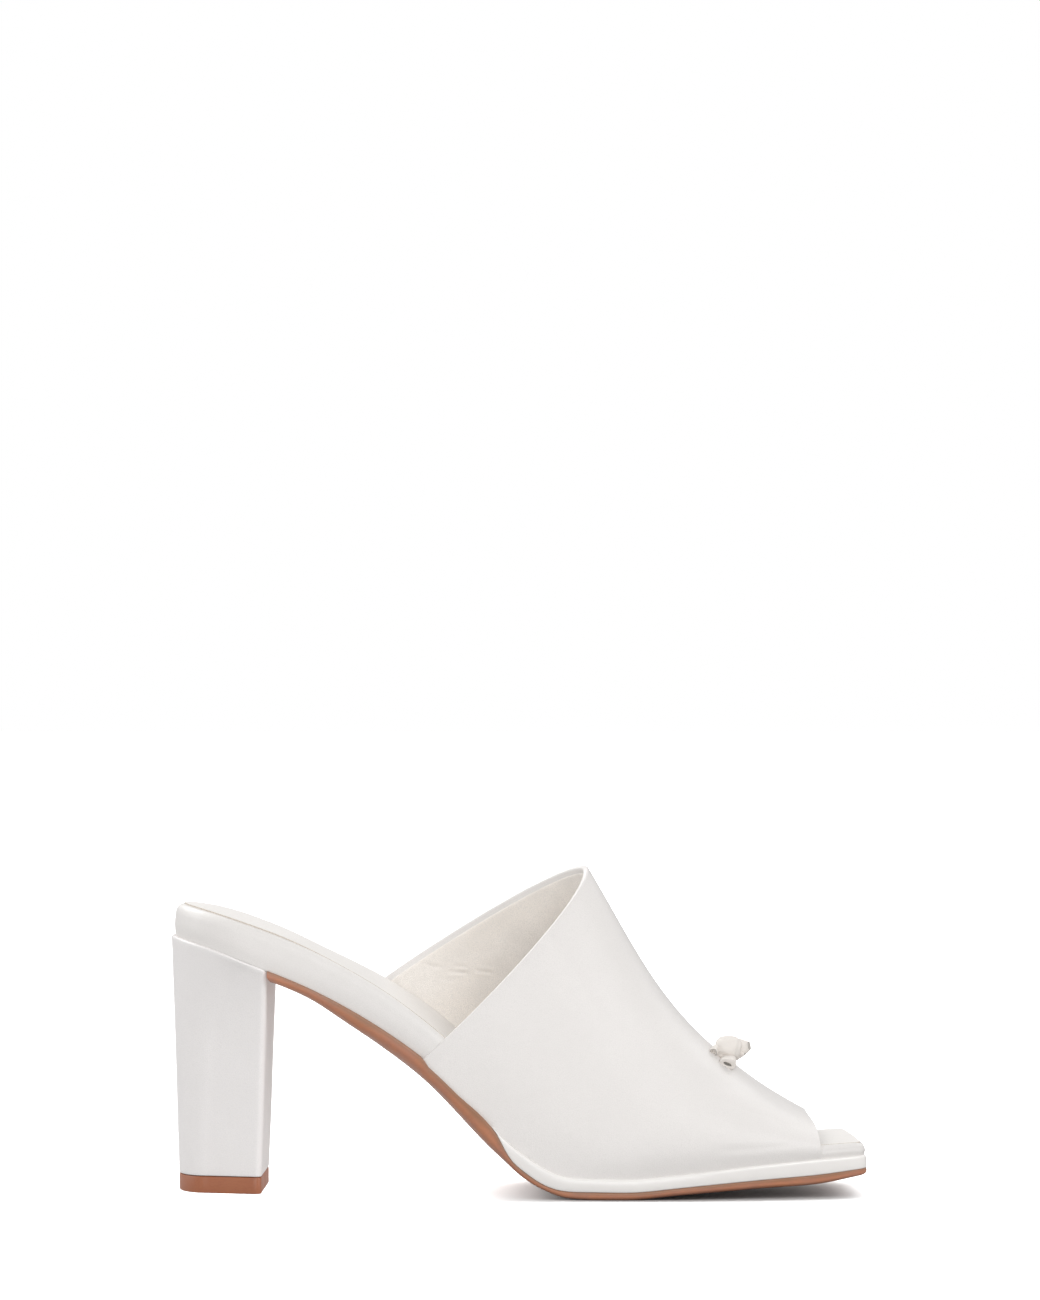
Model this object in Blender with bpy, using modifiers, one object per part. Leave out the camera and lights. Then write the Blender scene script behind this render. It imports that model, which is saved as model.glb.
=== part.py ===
"""Slide sandal: a high-heeled mule for the right foot, as separate pieces.

Run with: blender --background --python part.py

A wide leather band (the upper) is open at the back, at the toe and underneath.
It stands on a stack of outsole, midsole strip and padded footbed, which a tall
block heel lifts at the back. A small knot of leather strip sits on the band.

All the tables are in millimetres, in the maker's own frame: x runs forward from
the back of the heel, y runs from the heel's centre line towards the inner side
of the foot (the medial side), and z is the height above the floor. The last
step moves the whole sandal so that the frame's origin is under its middle.
"""

import math
from typing import NamedTuple

import bmesh
import bpy
import numpy as np
from mathutils import Vector

MM = 0.001
OBJECT_NAME = "slide_sandal"

# ---------------------------------------------------------------- driving sizes
GAP = 0.3               # clearance between pieces that meet
HEEL_ROUND = 27.0       # radius of the round back of the seat, seen from above
TOE_END = 224.4         # x of the toe on its outer corner
TOE_CORNER = 3.0        # corner radius of the square toe, seen from above
TOE_SLANT = 3.6         # how much shorter the sole is on its inner side
TOE_SLANT_FROM = 150.0  # x where that slant starts
TOE_BULGE = 0.5         # how far the front edge bows forward
ACROSS = 6              # faces across each plate of the sole

BREAST = 32.15          # x of the heel's front face, at its top
STRIP_START = 107.0     # x where the midsole strip starts, as a feather edge
HEEL_TIP_HEIGHT = 5.4
HEEL_SEAT_GAP = 0.5     # clearance over the heel, where both faces are faceted

WALL = 2.0              # wall of the band: leather and lining together
BAND_INSET_WAIST = 0.6  # from the sole's outline in to the band, at the waist
BAND_INSET_BALL = 1.2   # the same at the ball, where the strip stands proud
BAND_RISE = 0.25        # clearance under the band's feet, over GAP
BAND_BULGE = 1.9        # how far the walls swell out over their feet
BULGE_TOP = 0.7         # share of a section's height that swells
TILT_POWER = 0.6        # how a section turns from foot to foot over the crown
LEAN_LATERAL = 1.3      # more holds the turn back, low on the outer side
LEAN_MEDIAL = 1.35
BAND_LENGTHWISE = 18    # faces from the collar to the toe edge
BAND_AROUND = 28        # faces over the foot, from one side to the other

UNDER_ANGLES = (0, 50, 90)    # degrees round the lower edge of a plate
OVER_ANGLES = (0, 45, 90)     # and round its upper edge
UNDER_SHARE = 0.7             # most of a plate's height that each may take
OVER_SHARE = 0.28
BELLY_SHARE = 0.6             # the same for the outsole's round belly
BELLY_RISE = 0.62             # height of the belly's rounding for its width
BELLY_EDGE = 0.2              # and what is added to it

KNOT_MIDDLE = (181.4, -3.0, 45.85)  # where the knot stands over the band
KNOT_CORE = (8.6, 8.6, 6.6)         # length, width and height of its body
KNOT_CORE_SHIFT = (-1.0, 0.0, 0.6)  # from the middle to the body's centre
KNOT_TAPER = 0.7                    # how narrow a strip's end is for its root


class SoleRow(NamedTuple):
    """One station of the sole."""

    x: float
    lateral: float   # half width on the outer side of the foot
    medial: float    # half width on the inner side
    ground: float    # height of the outsole's underside
    seat: float      # height that the footbed and the band stand on
    top: float       # height of the footbed's upper face
    strip: float     # thickness of the midsole strip, just under the seat
    arch: float      # lift of the inner edge
    belly: float     # width of the rounding under the outsole's edge


SOLE = (
    SoleRow(0.0, 27.5, 27.5, 80.2, 82.8, 93.6, 0.0, 0.0, 1.0),
    SoleRow(12.0, 27.5, 27.5, 77.2, 79.8, 91.1, 0.0, 0.0, 1.0),
    SoleRow(32.0, 27.0, 26.6, 69.2, 72.4, 84.6, 0.0, -0.3, 2.0),
    SoleRow(45.0, 25.6, 25.2, 63.4, 66.9, 79.1, 0.0, -0.6, 4.0),
    SoleRow(57.0, 24.6, 24.6, 55.3, 60.7, 72.9, 0.0, 0.3, 7.0),
    SoleRow(69.0, 24.4, 25.0, 47.1, 53.5, 65.8, 0.0, 1.2, 8.0),
    SoleRow(82.0, 25.6, 27.0, 37.2, 44.4, 56.5, 0.0, 2.3, 8.0),
    SoleRow(90.0, 27.2, 29.0, 29.5, 37.3, 50.0, 0.0, 2.1, 8.0),
    SoleRow(98.0, 29.4, 31.2, 21.2, 29.5, 42.3, 0.0, 1.6, 7.0),
    SoleRow(105.0, 31.4, 33.2, 14.5, 22.2, 34.8, 0.3, 1.0, 5.0),
    SoleRow(109.6, 32.8, 34.5, 10.7, 17.8, 29.8, 4.0, 0.7, 3.0),
    SoleRow(112.0, 33.5, 35.1, 8.5, 16.0, 27.2, 5.1, 0.5, 1.6),
    SoleRow(121.0, 35.6, 37.2, 3.0, 10.1, 18.2, 5.4, 0.0, 1.1),
    SoleRow(129.0, 36.9, 38.9, 0.4, 7.2, 13.2, 4.6, 0.0, 1.3),
    SoleRow(138.0, 37.5, 40.2, 0.0, 6.8, 11.8, 4.3, 0.0, 1.4),
    SoleRow(147.0, 37.7, 40.9, 0.0, 6.6, 11.3, 4.2, 0.0, 1.5),
    SoleRow(165.0, 36.0, 40.8, 1.4, 8.0, 12.3, 4.2, 0.0, 1.6),
    SoleRow(190.0, 31.2, 38.3, 3.2, 10.6, 14.8, 4.7, 0.0, 1.6),
    SoleRow(207.0, 27.2, 36.0, 4.1, 12.1, 16.3, 5.0, 0.0, 1.5),
    SoleRow(225.0, 22.6, 33.6, 7.2, 13.4, 17.4, 4.2, 0.0, 1.2),
)


class Span(NamedTuple):
    """A stretch of the sole and the number of faces along it."""

    start: float
    end: float
    faces: int


SPANS = (
    Span(13.0, BREAST + GAP, 3),
    Span(BREAST + GAP, STRIP_START, 16),
    Span(STRIP_START, 129.0, 5),
    Span(129.0, 147.0, 2),
    Span(147.0, TOE_END - TOE_CORNER, 8),
)


class FootbedInset(NamedTuple):
    """How far the footbed's side stands in from the sole's outline."""

    x: float
    lateral: float
    medial: float


# Under the band the footbed is narrower, so that the band's wall passes it.
FOOTBED_INSETS = (
    FootbedInset(0.0, 0.9, 0.9),
    FootbedInset(44.0, 0.9, 0.9),
    FootbedInset(54.0, 0.9, 3.6),
    FootbedInset(70.0, 0.9, 3.7),
    FootbedInset(80.0, 3.7, 3.8),
    FootbedInset(96.0, 4.6, 4.0),
    FootbedInset(114.0, 4.6, 4.0),
    FootbedInset(134.0, 3.9, 3.9),
    FootbedInset(206.0, 3.9, 3.9),
    FootbedInset(210.5, 3.9, 1.4),
    FootbedInset(214.5, 1.3, 1.2),
    FootbedInset(225.0, 0.7, 0.9),
)


class BandRow(NamedTuple):
    """One section of the band, from the collar to the toe edge."""

    lateral: float   # x of the section's foot on the outer side
    medial: float    # x of its foot on the inner side
    ridge: float     # x of its crown
    height: float    # z of its crown
    side: float      # y of its crown
    square: float    # 2 is an ellipse, more is a flatter, squarer arch
    hook: float      # 1 leans evenly to the crown, more leans near the crown


BAND = (
    BandRow(81.7, 57.6, 134.6, 104.8, 4.5, 2.30, 1.0),
    BandRow(94.0, 74.0, 140.8, 94.1, 4.5, 2.28, 1.0),
    BandRow(107.0, 92.0, 148.0, 81.4, 4.6, 2.25, 1.0),
    BandRow(121.5, 110.0, 156.0, 68.4, 4.8, 2.22, 1.0),
    BandRow(137.5, 129.0, 164.5, 57.2, 5.0, 2.22, 1.0),
    BandRow(154.0, 148.0, 173.5, 47.9, 5.3, 2.30, 1.1),
    BandRow(171.5, 166.5, 183.0, 40.0, 5.8, 2.45, 1.4),
    BandRow(190.4, 186.0, 193.1, 32.5, 6.4, 2.75, 2.4),
    BandRow(210.2, 205.5, 206.1, 24.8, 7.0, 3.10, 6.0),
)


class HeelRow(NamedTuple):
    """One level of the heel, from its seat down to its tip."""

    level: float    # 1 at the seat, 0 at the bottom
    back: float     # x of the back edge
    front: float    # x of the breast
    width: float    # half width at the breast
    shoulder: float # half width where the round back starts
    round: float    # length of the round back


HEEL = (
    HeelRow(0.00, 2.15, 30.05, 20.0, 16.0, 10.0),
    HeelRow(0.30, 1.40, 30.85, 20.6, 16.9, 11.5),
    HeelRow(0.60, 0.70, 31.45, 21.8, 18.6, 14.0),
    HeelRow(0.85, 0.00, 31.95, 24.0, 22.2, 19.0),
    HeelRow(1.00, -0.40, 32.15, 26.4, 26.2, 25.0),
)
HEEL_LEVELS = 8
HEEL_BACK_FACES = 7
HEEL_CORNER = 1.2       # rounding of the heel's two front edges


# ------------------------------------------------------------------ interpolation
def smooth(rows, column: str, at: float, key: str = "x") -> float:
    """Read a column of a table at any place, on a curve with no overshoot."""
    xs = np.array([getattr(row, key) for row in rows], dtype=float)
    ys = np.array([getattr(row, column) for row in rows], dtype=float)
    steps = np.diff(xs)
    slopes = np.diff(ys) / steps
    tangents = np.zeros(len(xs))
    tangents[0], tangents[-1] = slopes[0], slopes[-1]
    for i in range(1, len(xs) - 1):
        before, after = slopes[i - 1], slopes[i]
        if before * after > 0.0:
            w1 = 2.0 * steps[i] + steps[i - 1]
            w2 = steps[i] + 2.0 * steps[i - 1]
            tangents[i] = (w1 + w2) / (w1 / before + w2 / after)
    at = min(max(at, xs[0]), xs[-1])
    i = min(int(np.searchsorted(xs, at, side="right")) - 1, len(steps) - 1)
    t = (at - xs[i]) / steps[i]
    start = (1 + 2 * t) * (1 - t) ** 2 * ys[i] + t * (1 - t) ** 2 * steps[i] * tangents[i]
    end = t * t * (3 - 2 * t) * ys[i + 1] + t * t * (t - 1) * steps[i] * tangents[i + 1]
    return float(start + end)


def ease(t: float) -> float:
    """Go from 0 to 1 with level ends."""
    t = min(max(t, 0.0), 1.0)
    return t * t * (3 - 2 * t)


# ------------------------------------------------------------------ sole surfaces
def half_width(x: float, side: str) -> float:
    """Half width of the sole's outline, with its round back."""
    width = smooth(SOLE, side, x)
    if x < HEEL_ROUND:
        width *= math.sqrt(max(0.0, 1.0 - (1.0 - x / HEEL_ROUND) ** 2))
    return width


def lift(x: float, y: float) -> float:
    """Rise of the inner side over the outer side, in the arch."""
    t = min(max(y / smooth(SOLE, "medial", x), 0.0), 1.0)
    return smooth(SOLE, "arch", x) * t * t


def ground(x: float, y: float) -> float:
    """Height of the outsole's underside."""
    return smooth(SOLE, "ground", x) + lift(x, y)


def seat(x: float, y: float) -> float:
    """Height that the footbed and the band's feet stand on."""
    return smooth(SOLE, "seat", x) + lift(x, y)


def tread_top(x: float, y: float) -> float:
    """Height of the outsole's upper face, which carries the strip."""
    return seat(x, y) - smooth(SOLE, "strip", x)


def footbed_top(x: float, y: float) -> float:
    """Height of the footbed's upper face."""
    return smooth(SOLE, "top", x) + lift(x, y)


# --------------------------------------------------------------------- the plates
class Edge(NamedTuple):
    """Rounding of a plate's rim at one place: widths and heights."""

    under: float
    under_height: float
    over: float
    over_height: float


def stations(start: float) -> list[float]:
    """List the x of the cross lines of a plate that starts at start.

    All plates share the same lines, so that their facing surfaces run alike.
    """
    first = HEEL_ROUND * (1 - math.cos(math.radians(45)))
    lines = [first]
    for span in SPANS:
        step = (span.end - span.start) / span.faces
        lines += [span.start + step * i for i in range(span.faces)]
    for angle in (0, 35, 65, 90):
        lines.append(TOE_END - TOE_CORNER * (1 - math.sin(math.radians(angle))))
    return [x for x in lines if x >= start - 0.01]


def plan_line(x: float, round_back: bool) -> list[Vector]:
    """Give the plan points of one cross line, from the outer side to the inner."""
    slant = TOE_SLANT * ease((x - TOE_SLANT_FROM) / (TOE_END - TOE_SLANT_FROM))
    past = max(0.0, x - (TOE_END - TOE_CORNER))
    corner = TOE_CORNER - math.sqrt(max(0.0, TOE_CORNER ** 2 - past ** 2))
    outer = Vector((x, corner - half_width(x, "lateral")))
    inner = Vector((x - slant, half_width(x - slant, "medial") - corner))
    line = []
    for k in range(ACROSS + 1):
        t = k / ACROSS
        point = outer.lerp(inner, t)
        if round_back:
            angle = math.radians(45) * (2 * t - 1)
            point.x = HEEL_ROUND * (1 - math.cos(angle))
            point.y = half_width(HEEL_ROUND, "medial") * math.sin(angle)
        point.x += TOE_BULGE * (past / TOE_CORNER) * 4 * t * (1 - t)
        line.append(point)
    return line


def plate_mesh(lines, inset, underside, topside, edge) -> bpy.types.Mesh:
    """Build a closed plate over a grid of plan lines.

    Rim rings follow the outline, pushed in by inset and rounded by edge, and
    two fields of faces close the plate above and below.
    """
    last = len(lines) - 1
    rim = [(0, k) for k in range(ACROSS)]
    rim += [(i, ACROSS) for i in range(last)]
    rim += [(last, k) for k in range(ACROSS, 0, -1)]
    rim += [(i, 0) for i in range(last, 0, -1)]
    outline = [lines[i][k] for i, k in rim]

    def pushed(index: int, distance: float) -> Vector:
        before, after = outline[index - 1], outline[(index + 1) % len(outline)]
        along = (after - before).normalized()
        return outline[index] + Vector((along.y, -along.x)) * distance

    profile = []
    for angle in UNDER_ANGLES:
        turn = math.radians(angle)
        profile.append(("under", 1 - math.sin(turn), 1 - math.cos(turn)))
    for angle in OVER_ANGLES:
        turn = math.radians(angle)
        profile.append(("over", 1 - math.cos(turn), 1 - math.sin(turn)))

    mesh = bpy.data.meshes.new("plate")
    bm = bmesh.new()
    rings = []
    for part, push, rise in profile:
        ring = []
        for index, plan in enumerate(outline):
            rounding = edge(plan.x)
            width = rounding.under if part == "under" else rounding.over
            point = pushed(index, inset(plan.x, plan.y) + width * push)
            low, high = underside(point.x, point.y), topside(point.x, point.y)
            if part == "under":
                z = low + min(rounding.under_height, (high - low) * UNDER_SHARE) * rise
            else:
                z = high - min(rounding.over_height, (high - low) * OVER_SHARE) * rise
            ring.append(bm.verts.new((point.x * MM, point.y * MM, z * MM)))
        rings.append(ring)
    for lower, upper in zip(rings, rings[1:]):
        for j in range(len(outline)):
            k = (j + 1) % len(outline)
            bm.faces.new((lower[j], upper[j], upper[k], lower[k]))

    for ring, surface, flip in ((rings[0], underside, False), (rings[-1], topside, True)):
        grid = {key: ring[j] for j, key in enumerate(rim)}
        for i in range(1, last):
            start, end = grid[i, 0].co, grid[i, ACROSS].co
            for k in range(1, ACROSS):
                point = start.lerp(end, k / ACROSS) / MM
                z = surface(point.x, point.y)
                grid[i, k] = bm.verts.new((point.x * MM, point.y * MM, z * MM))
        for i in range(last):
            for k in range(ACROSS):
                face = (grid[i, k], grid[i, k + 1], grid[i + 1, k + 1], grid[i + 1, k])
                bm.faces.new(face[::-1] if flip else face)
    bmesh.ops.recalc_face_normals(bm, faces=bm.faces)
    bm.to_mesh(mesh)
    bm.free()
    return mesh


def build_outsole() -> bpy.types.Object:
    """Make the outsole: thin at the toe, thicker and rounded in the waist."""
    lines = [plan_line(x, False) for x in stations(BREAST + GAP)]

    def edge(x: float) -> Edge:
        belly = smooth(SOLE, "belly", x)
        tread = tread_top(x, 0.0) - ground(x, 0.0)
        height = min(BELLY_SHARE * tread, BELLY_RISE * belly + BELLY_EDGE)
        return Edge(belly, height, 0.4, 0.4)

    mesh = plate_mesh(lines, lambda x, y: 0.0, ground,
                      lambda x, y: tread_top(x, y) - GAP, edge)
    return add_piece("outsole", mesh, TAN_LEATHER)


def build_midsole() -> bpy.types.Object:
    """Make the white strip: full under the ball and toe, a feather at its rear."""
    lines = [plan_line(x, False) for x in stations(STRIP_START)]
    mesh = plate_mesh(lines, lambda x, y: 0.1, tread_top,
                      lambda x, y: seat(x, y) - GAP,
                      lambda x: Edge(0.3, 0.5, 1.0, 1.0))
    return add_piece("midsole", mesh, WHITE_STRIP)


def footbed_inset(x: float, y: float) -> float:
    """Read how far the footbed stands in, on either side."""
    return smooth(FOOTBED_INSETS, "medial" if y > 0 else "lateral", x)


def build_footbed() -> bpy.types.Object:
    """Make the padded footbed, which stands on the heel, outsole and strip."""
    xs = stations(0.0)
    lines = [plan_line(x, x == xs[0]) for x in xs]
    mesh = plate_mesh(lines, footbed_inset, seat, footbed_top,
                      lambda x: Edge(0.6, 0.6, 3.0, 3.0))
    return add_piece("footbed", mesh, WHITE_LEATHER)


# ----------------------------------------------------------------------- the band
def band_point(row: float, around: float) -> Vector:
    """Give a point of the band's outer face.

    Args:
        row: place along the band, 0 at the collar and len(BAND) - 1 at the toe.
        around: 0 at the outer foot, 1 at the inner foot.
    """
    keyed = [IndexedRow(index, values) for index, values in enumerate(BAND)]
    read = {name: smooth(keyed, name, row, "index") for name in BandRow._fields}
    inset_t = ease((read["lateral"] - 85.0) / 25.0)
    inset = BAND_INSET_WAIST + (BAND_INSET_BALL - BAND_INSET_WAIST) * inset_t
    feet = []
    for side, sign in (("lateral", -1.0), ("medial", 1.0)):
        x = read[side]
        y = sign * (half_width(x, side) - inset)
        feet.append(Vector((x, y, seat(x, y) + BAND_RISE)))
    outer, inner = feet
    middle = (outer + inner) / 2
    half = (inner - outer) / 2
    crown = Vector((read["ridge"], read["side"], read["height"]))
    angle = math.pi * (1.0 - around)
    power = 2.0 / read["square"]
    across = math.copysign(abs(math.cos(angle)) ** power, math.cos(angle))
    up = abs(math.sin(angle)) ** power
    lean = LEAN_MEDIAL if across > 0.0 else LEAN_LATERAL
    tilt = math.copysign(max(0.0, 1.0 - up ** lean) ** TILT_POWER, across)
    spread = Vector((half.x * tilt, half.y * across, half.z * tilt))
    swell = BAND_BULGE * math.sin(math.pi * min(up / BULGE_TOP, 1.0))
    spread.y += math.copysign(swell, across)
    rise = (crown - middle) * up
    rise.x = (crown.x - middle.x) * up ** read["hook"]
    return middle + spread + rise


class IndexedRow:
    """A row of the band's table with its index, for reading between rows."""

    def __init__(self, index: int, row: BandRow) -> None:
        self.index = index
        for name, value in zip(row._fields, row):
            setattr(self, name, value)


def build_upper() -> bpy.types.Object:
    """Make the band: an open surface over the foot, given its wall inwards."""
    bm = bmesh.new()
    grid = []
    for i in range(BAND_LENGTHWISE + 1):
        row = (len(BAND) - 1) * i / BAND_LENGTHWISE
        line = []
        for j in range(BAND_AROUND + 1):
            line.append(bm.verts.new(band_point(row, j / BAND_AROUND) * MM))
        grid.append(line)
    for back, front in zip(grid, grid[1:]):
        for j in range(BAND_AROUND):
            bm.faces.new((back[j], front[j], front[j + 1], back[j + 1]))
    mesh = bpy.data.meshes.new("band")
    bm.to_mesh(mesh)
    bm.free()
    upper = add_piece("upper", mesh, WHITE_LEATHER)
    wall = upper.modifiers.new("wall", "SOLIDIFY")
    wall.thickness = WALL * MM
    wall.offset = -1.0
    wall.use_even_offset = True
    return upper


# ----------------------------------------------------------------------- the heel
def heel_section(level: float, grow: float = 0.0) -> list[Vector]:
    """Give the heel's plan outline at a level, from the outer front corner round."""
    read = {name: smooth(HEEL, name, level, "level") for name in HeelRow._fields}
    half = []
    for k in range(HEEL_BACK_FACES + 1):
        angle = math.radians(90) * k / HEEL_BACK_FACES
        x = read["back"] + read["round"] * (1 - math.cos(angle))
        half.append(Vector((x - grow, read["shoulder"] * math.sin(angle) + grow)))
    front_corner = Vector((read["front"] - HEEL_CORNER, read["width"] + grow))
    half.append(half[-1].lerp(front_corner, 0.5))
    half.append(front_corner)
    for angle in (45, 90):
        turn = math.radians(angle)
        x = read["front"] - HEEL_CORNER * (1 - math.sin(turn))
        half.append(Vector((x, read["width"] + grow - HEEL_CORNER * (1 - math.cos(turn)))))
    half[0].y = 0.0
    other = [Vector((p.x, -p.y)) for p in reversed(half[1:])]
    return other + half


def closed_stack(rings: list[list[Vector]]) -> bpy.types.Mesh:
    """Bridge rings of equal length and close both ends across their middle."""
    bm = bmesh.new()
    levels = [[bm.verts.new(point * MM) for point in ring] for ring in rings]
    count = len(rings[0])
    for low, high in zip(levels, levels[1:]):
        for j in range(count):
            k = (j + 1) % count
            bm.faces.new((low[j], low[k], high[k], high[j]))
    middle = count // 2
    for ring in (levels[0], levels[-1]):
        bm.faces.new((ring[middle - 1], ring[middle], ring[middle + 1]))
        for j in range(1, middle):
            pair = (ring[middle - j], ring[middle + j])
            wider = (ring[middle + j + 1], ring[middle - j - 1])
            bm.faces.new(pair + wider)
    bmesh.ops.recalc_face_normals(bm, faces=bm.faces)
    mesh = bpy.data.meshes.new("stack")
    bm.to_mesh(mesh)
    bm.free()
    return mesh


def build_heel() -> bpy.types.Object:
    """Make the covered block heel, whose top follows the seat's slope."""
    bottom = HEEL_TIP_HEIGHT + GAP
    rings = []
    for i in range(HEEL_LEVELS + 1):
        level = i / HEEL_LEVELS
        ring = []
        for plan in heel_section(level):
            top = seat(plan.x, plan.y) - HEEL_SEAT_GAP
            ring.append(Vector((plan.x, plan.y, bottom + (top - bottom) * level)))
        rings.append(ring)
    return add_piece("heel", closed_stack(rings), WHITE_LEATHER)


def build_heel_tip() -> bpy.types.Object:
    """Make the tan top piece that the heel stands on."""
    rings = []
    for z, grow in ((0.0, -0.4), (0.4, 0.0), (HEEL_TIP_HEIGHT, 0.0)):
        rings.append([Vector((p.x, p.y, z)) for p in heel_section(0.0, grow)])
    return add_piece("heel_tip", closed_stack(rings), TAN_LEATHER)


# ----------------------------------------------------------------------- the knot
class StripEnd(NamedTuple):
    """A short end of the knot's strip, placed from the knot's middle."""

    name: str
    place: tuple[float, float, float]
    turns: tuple[float, float, float]   # degrees about x, y and z
    size: tuple[float, float, float]    # length, width and height at its root


STRIP_ENDS = (
    StripEnd("toe_end", (3.1, 0.8, 0.4), (0.0, -8.0, -8.0), (5.0, 3.0, 5.2)),
    StripEnd("toe_end_low", (2.9, -1.0, -0.9), (0.0, 10.0, -20.0), (3.2, 2.0, 2.0)),
    StripEnd("heel_end", (-4.5, -2.7, 1.2), (0.0, 0.0, 242.0), (5.8, 2.4, 2.4)),
    StripEnd("loop", (-1.2, -3.8, -1.5), (0.0, 16.0, 268.0), (7.6, 5.4, 3.4)),
)


def build_knot() -> bpy.types.Object:
    """Make the knot: a rounded body with the short ends of its strip."""
    bm = bmesh.new()
    bmesh.ops.create_uvsphere(bm, u_segments=14, v_segments=9, radius=0.5)
    bmesh.ops.scale(bm, vec=Vector(KNOT_CORE) * MM, verts=bm.verts)
    bmesh.ops.translate(bm, vec=Vector(KNOT_CORE_SHIFT) * MM, verts=bm.verts)
    mesh = bpy.data.meshes.new("core")
    bm.to_mesh(mesh)
    bm.free()
    core = add_piece("knot", mesh, KNOT_LEATHER)
    core.location = Vector(KNOT_MIDDLE) * MM

    for strip in STRIP_ENDS:
        bm = bmesh.new()
        bmesh.ops.create_cube(bm, size=1.0)
        for vertex in bm.verts:
            if vertex.co.x > 0.0:
                vertex.co.y *= KNOT_TAPER
                vertex.co.z *= KNOT_TAPER
        bmesh.ops.scale(bm, vec=Vector(strip.size) * MM, verts=bm.verts)
        mesh = bpy.data.meshes.new(strip.name)
        bm.to_mesh(mesh)
        bm.free()
        end = bpy.data.objects.new(strip.name, mesh)
        CUTTERS.objects.link(end)
        end.hide_render = True
        end.display_type = "WIRE"
        end.parent = core
        end.location = Vector(strip.place) * MM
        end.rotation_euler = [math.radians(angle) for angle in strip.turns]
        join = core.modifiers.new(strip.name, "BOOLEAN")
        join.operation = "UNION"
        join.solver = "EXACT"
        join.object = end
    return core


# -------------------------------------------------------------- scene and finish
def make_material(name: str, colour: tuple, roughness: float) -> bpy.types.Material:
    """Make a plain material with the piece's colour and roughness."""
    material = bpy.data.materials.new(name)
    material.use_nodes = True
    shader = material.node_tree.nodes["Principled BSDF"]
    shader.inputs["Base Color"].default_value = (*colour, 1.0)
    shader.inputs["Roughness"].default_value = roughness
    shader.inputs["Metallic"].default_value = 0.0
    return material


def add_piece(name: str, mesh: bpy.types.Mesh, material: bpy.types.Material):
    """Put a mesh in the object's collection as a named, smooth-shaded piece."""
    mesh.name = name
    mesh.materials.append(material)
    mesh.shade_smooth()
    mesh.set_sharp_from_angle(angle=math.radians(35))
    piece = bpy.data.objects.new(name, mesh)
    PARTS.objects.link(piece)
    piece.parent = FRAME
    return piece


def centre_over_origin(pieces: list[bpy.types.Object]) -> None:
    """Move the frame so that its origin is at the bottom middle of the sandal."""
    depsgraph = bpy.context.evaluated_depsgraph_get()
    corners = []
    for piece in pieces:
        evaluated = piece.evaluated_get(depsgraph)
        corners += [piece.matrix_world @ v.co for v in evaluated.data.vertices]
    low = [min(corner[axis] for corner in corners) for axis in range(3)]
    high = [max(corner[axis] for corner in corners) for axis in range(3)]
    FRAME.location = (-(low[0] + high[0]) / 2, -(low[1] + high[1]) / 2, -low[2])


for old in list(bpy.data.objects):
    bpy.data.objects.remove(old, do_unlink=True)

PARTS = bpy.data.collections.new(OBJECT_NAME)
CUTTERS = bpy.data.collections.new("cutters")
FRAME = bpy.data.objects.new("frame", None)
for collection in (PARTS, CUTTERS):
    bpy.context.scene.collection.children.link(collection)
PARTS.objects.link(FRAME)

WHITE_LEATHER = make_material("white_leather", (0.80, 0.77, 0.74), 0.45)
WHITE_STRIP = make_material("white_strip", (0.88, 0.87, 0.85), 0.30)
TAN_LEATHER = make_material("tan_leather", (0.42, 0.16, 0.08), 0.50)
KNOT_LEATHER = make_material("knot_leather", (0.78, 0.73, 0.69), 0.50)

sandal = [
    build_outsole(),
    build_midsole(),
    build_footbed(),
    build_upper(),
    build_heel(),
    build_heel_tip(),
    build_knot(),
]
bpy.context.view_layer.update()
centre_over_origin(sandal)
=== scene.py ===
"""Slide sandal: a high-heeled leather mule for the right foot, piece by piece.

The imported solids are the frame. Every piece that shows is made here again with
its real shape and finish: the lined band over the foot, the padded footbed with
its sock lining, the glossy strip, the tan sole, the covered heel with its top
piece, and the little knot on the ridge of the band.

Sizes are in millimetres in the maker's frame: x runs forward from the back of
the heel, y runs from the heel's centre line to the inner side of the foot, and
z is the height above the floor.
"""

import logging
import math
from dataclasses import dataclass, field
from enum import Enum
from typing import Callable, ClassVar, NamedTuple, Sequence

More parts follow.
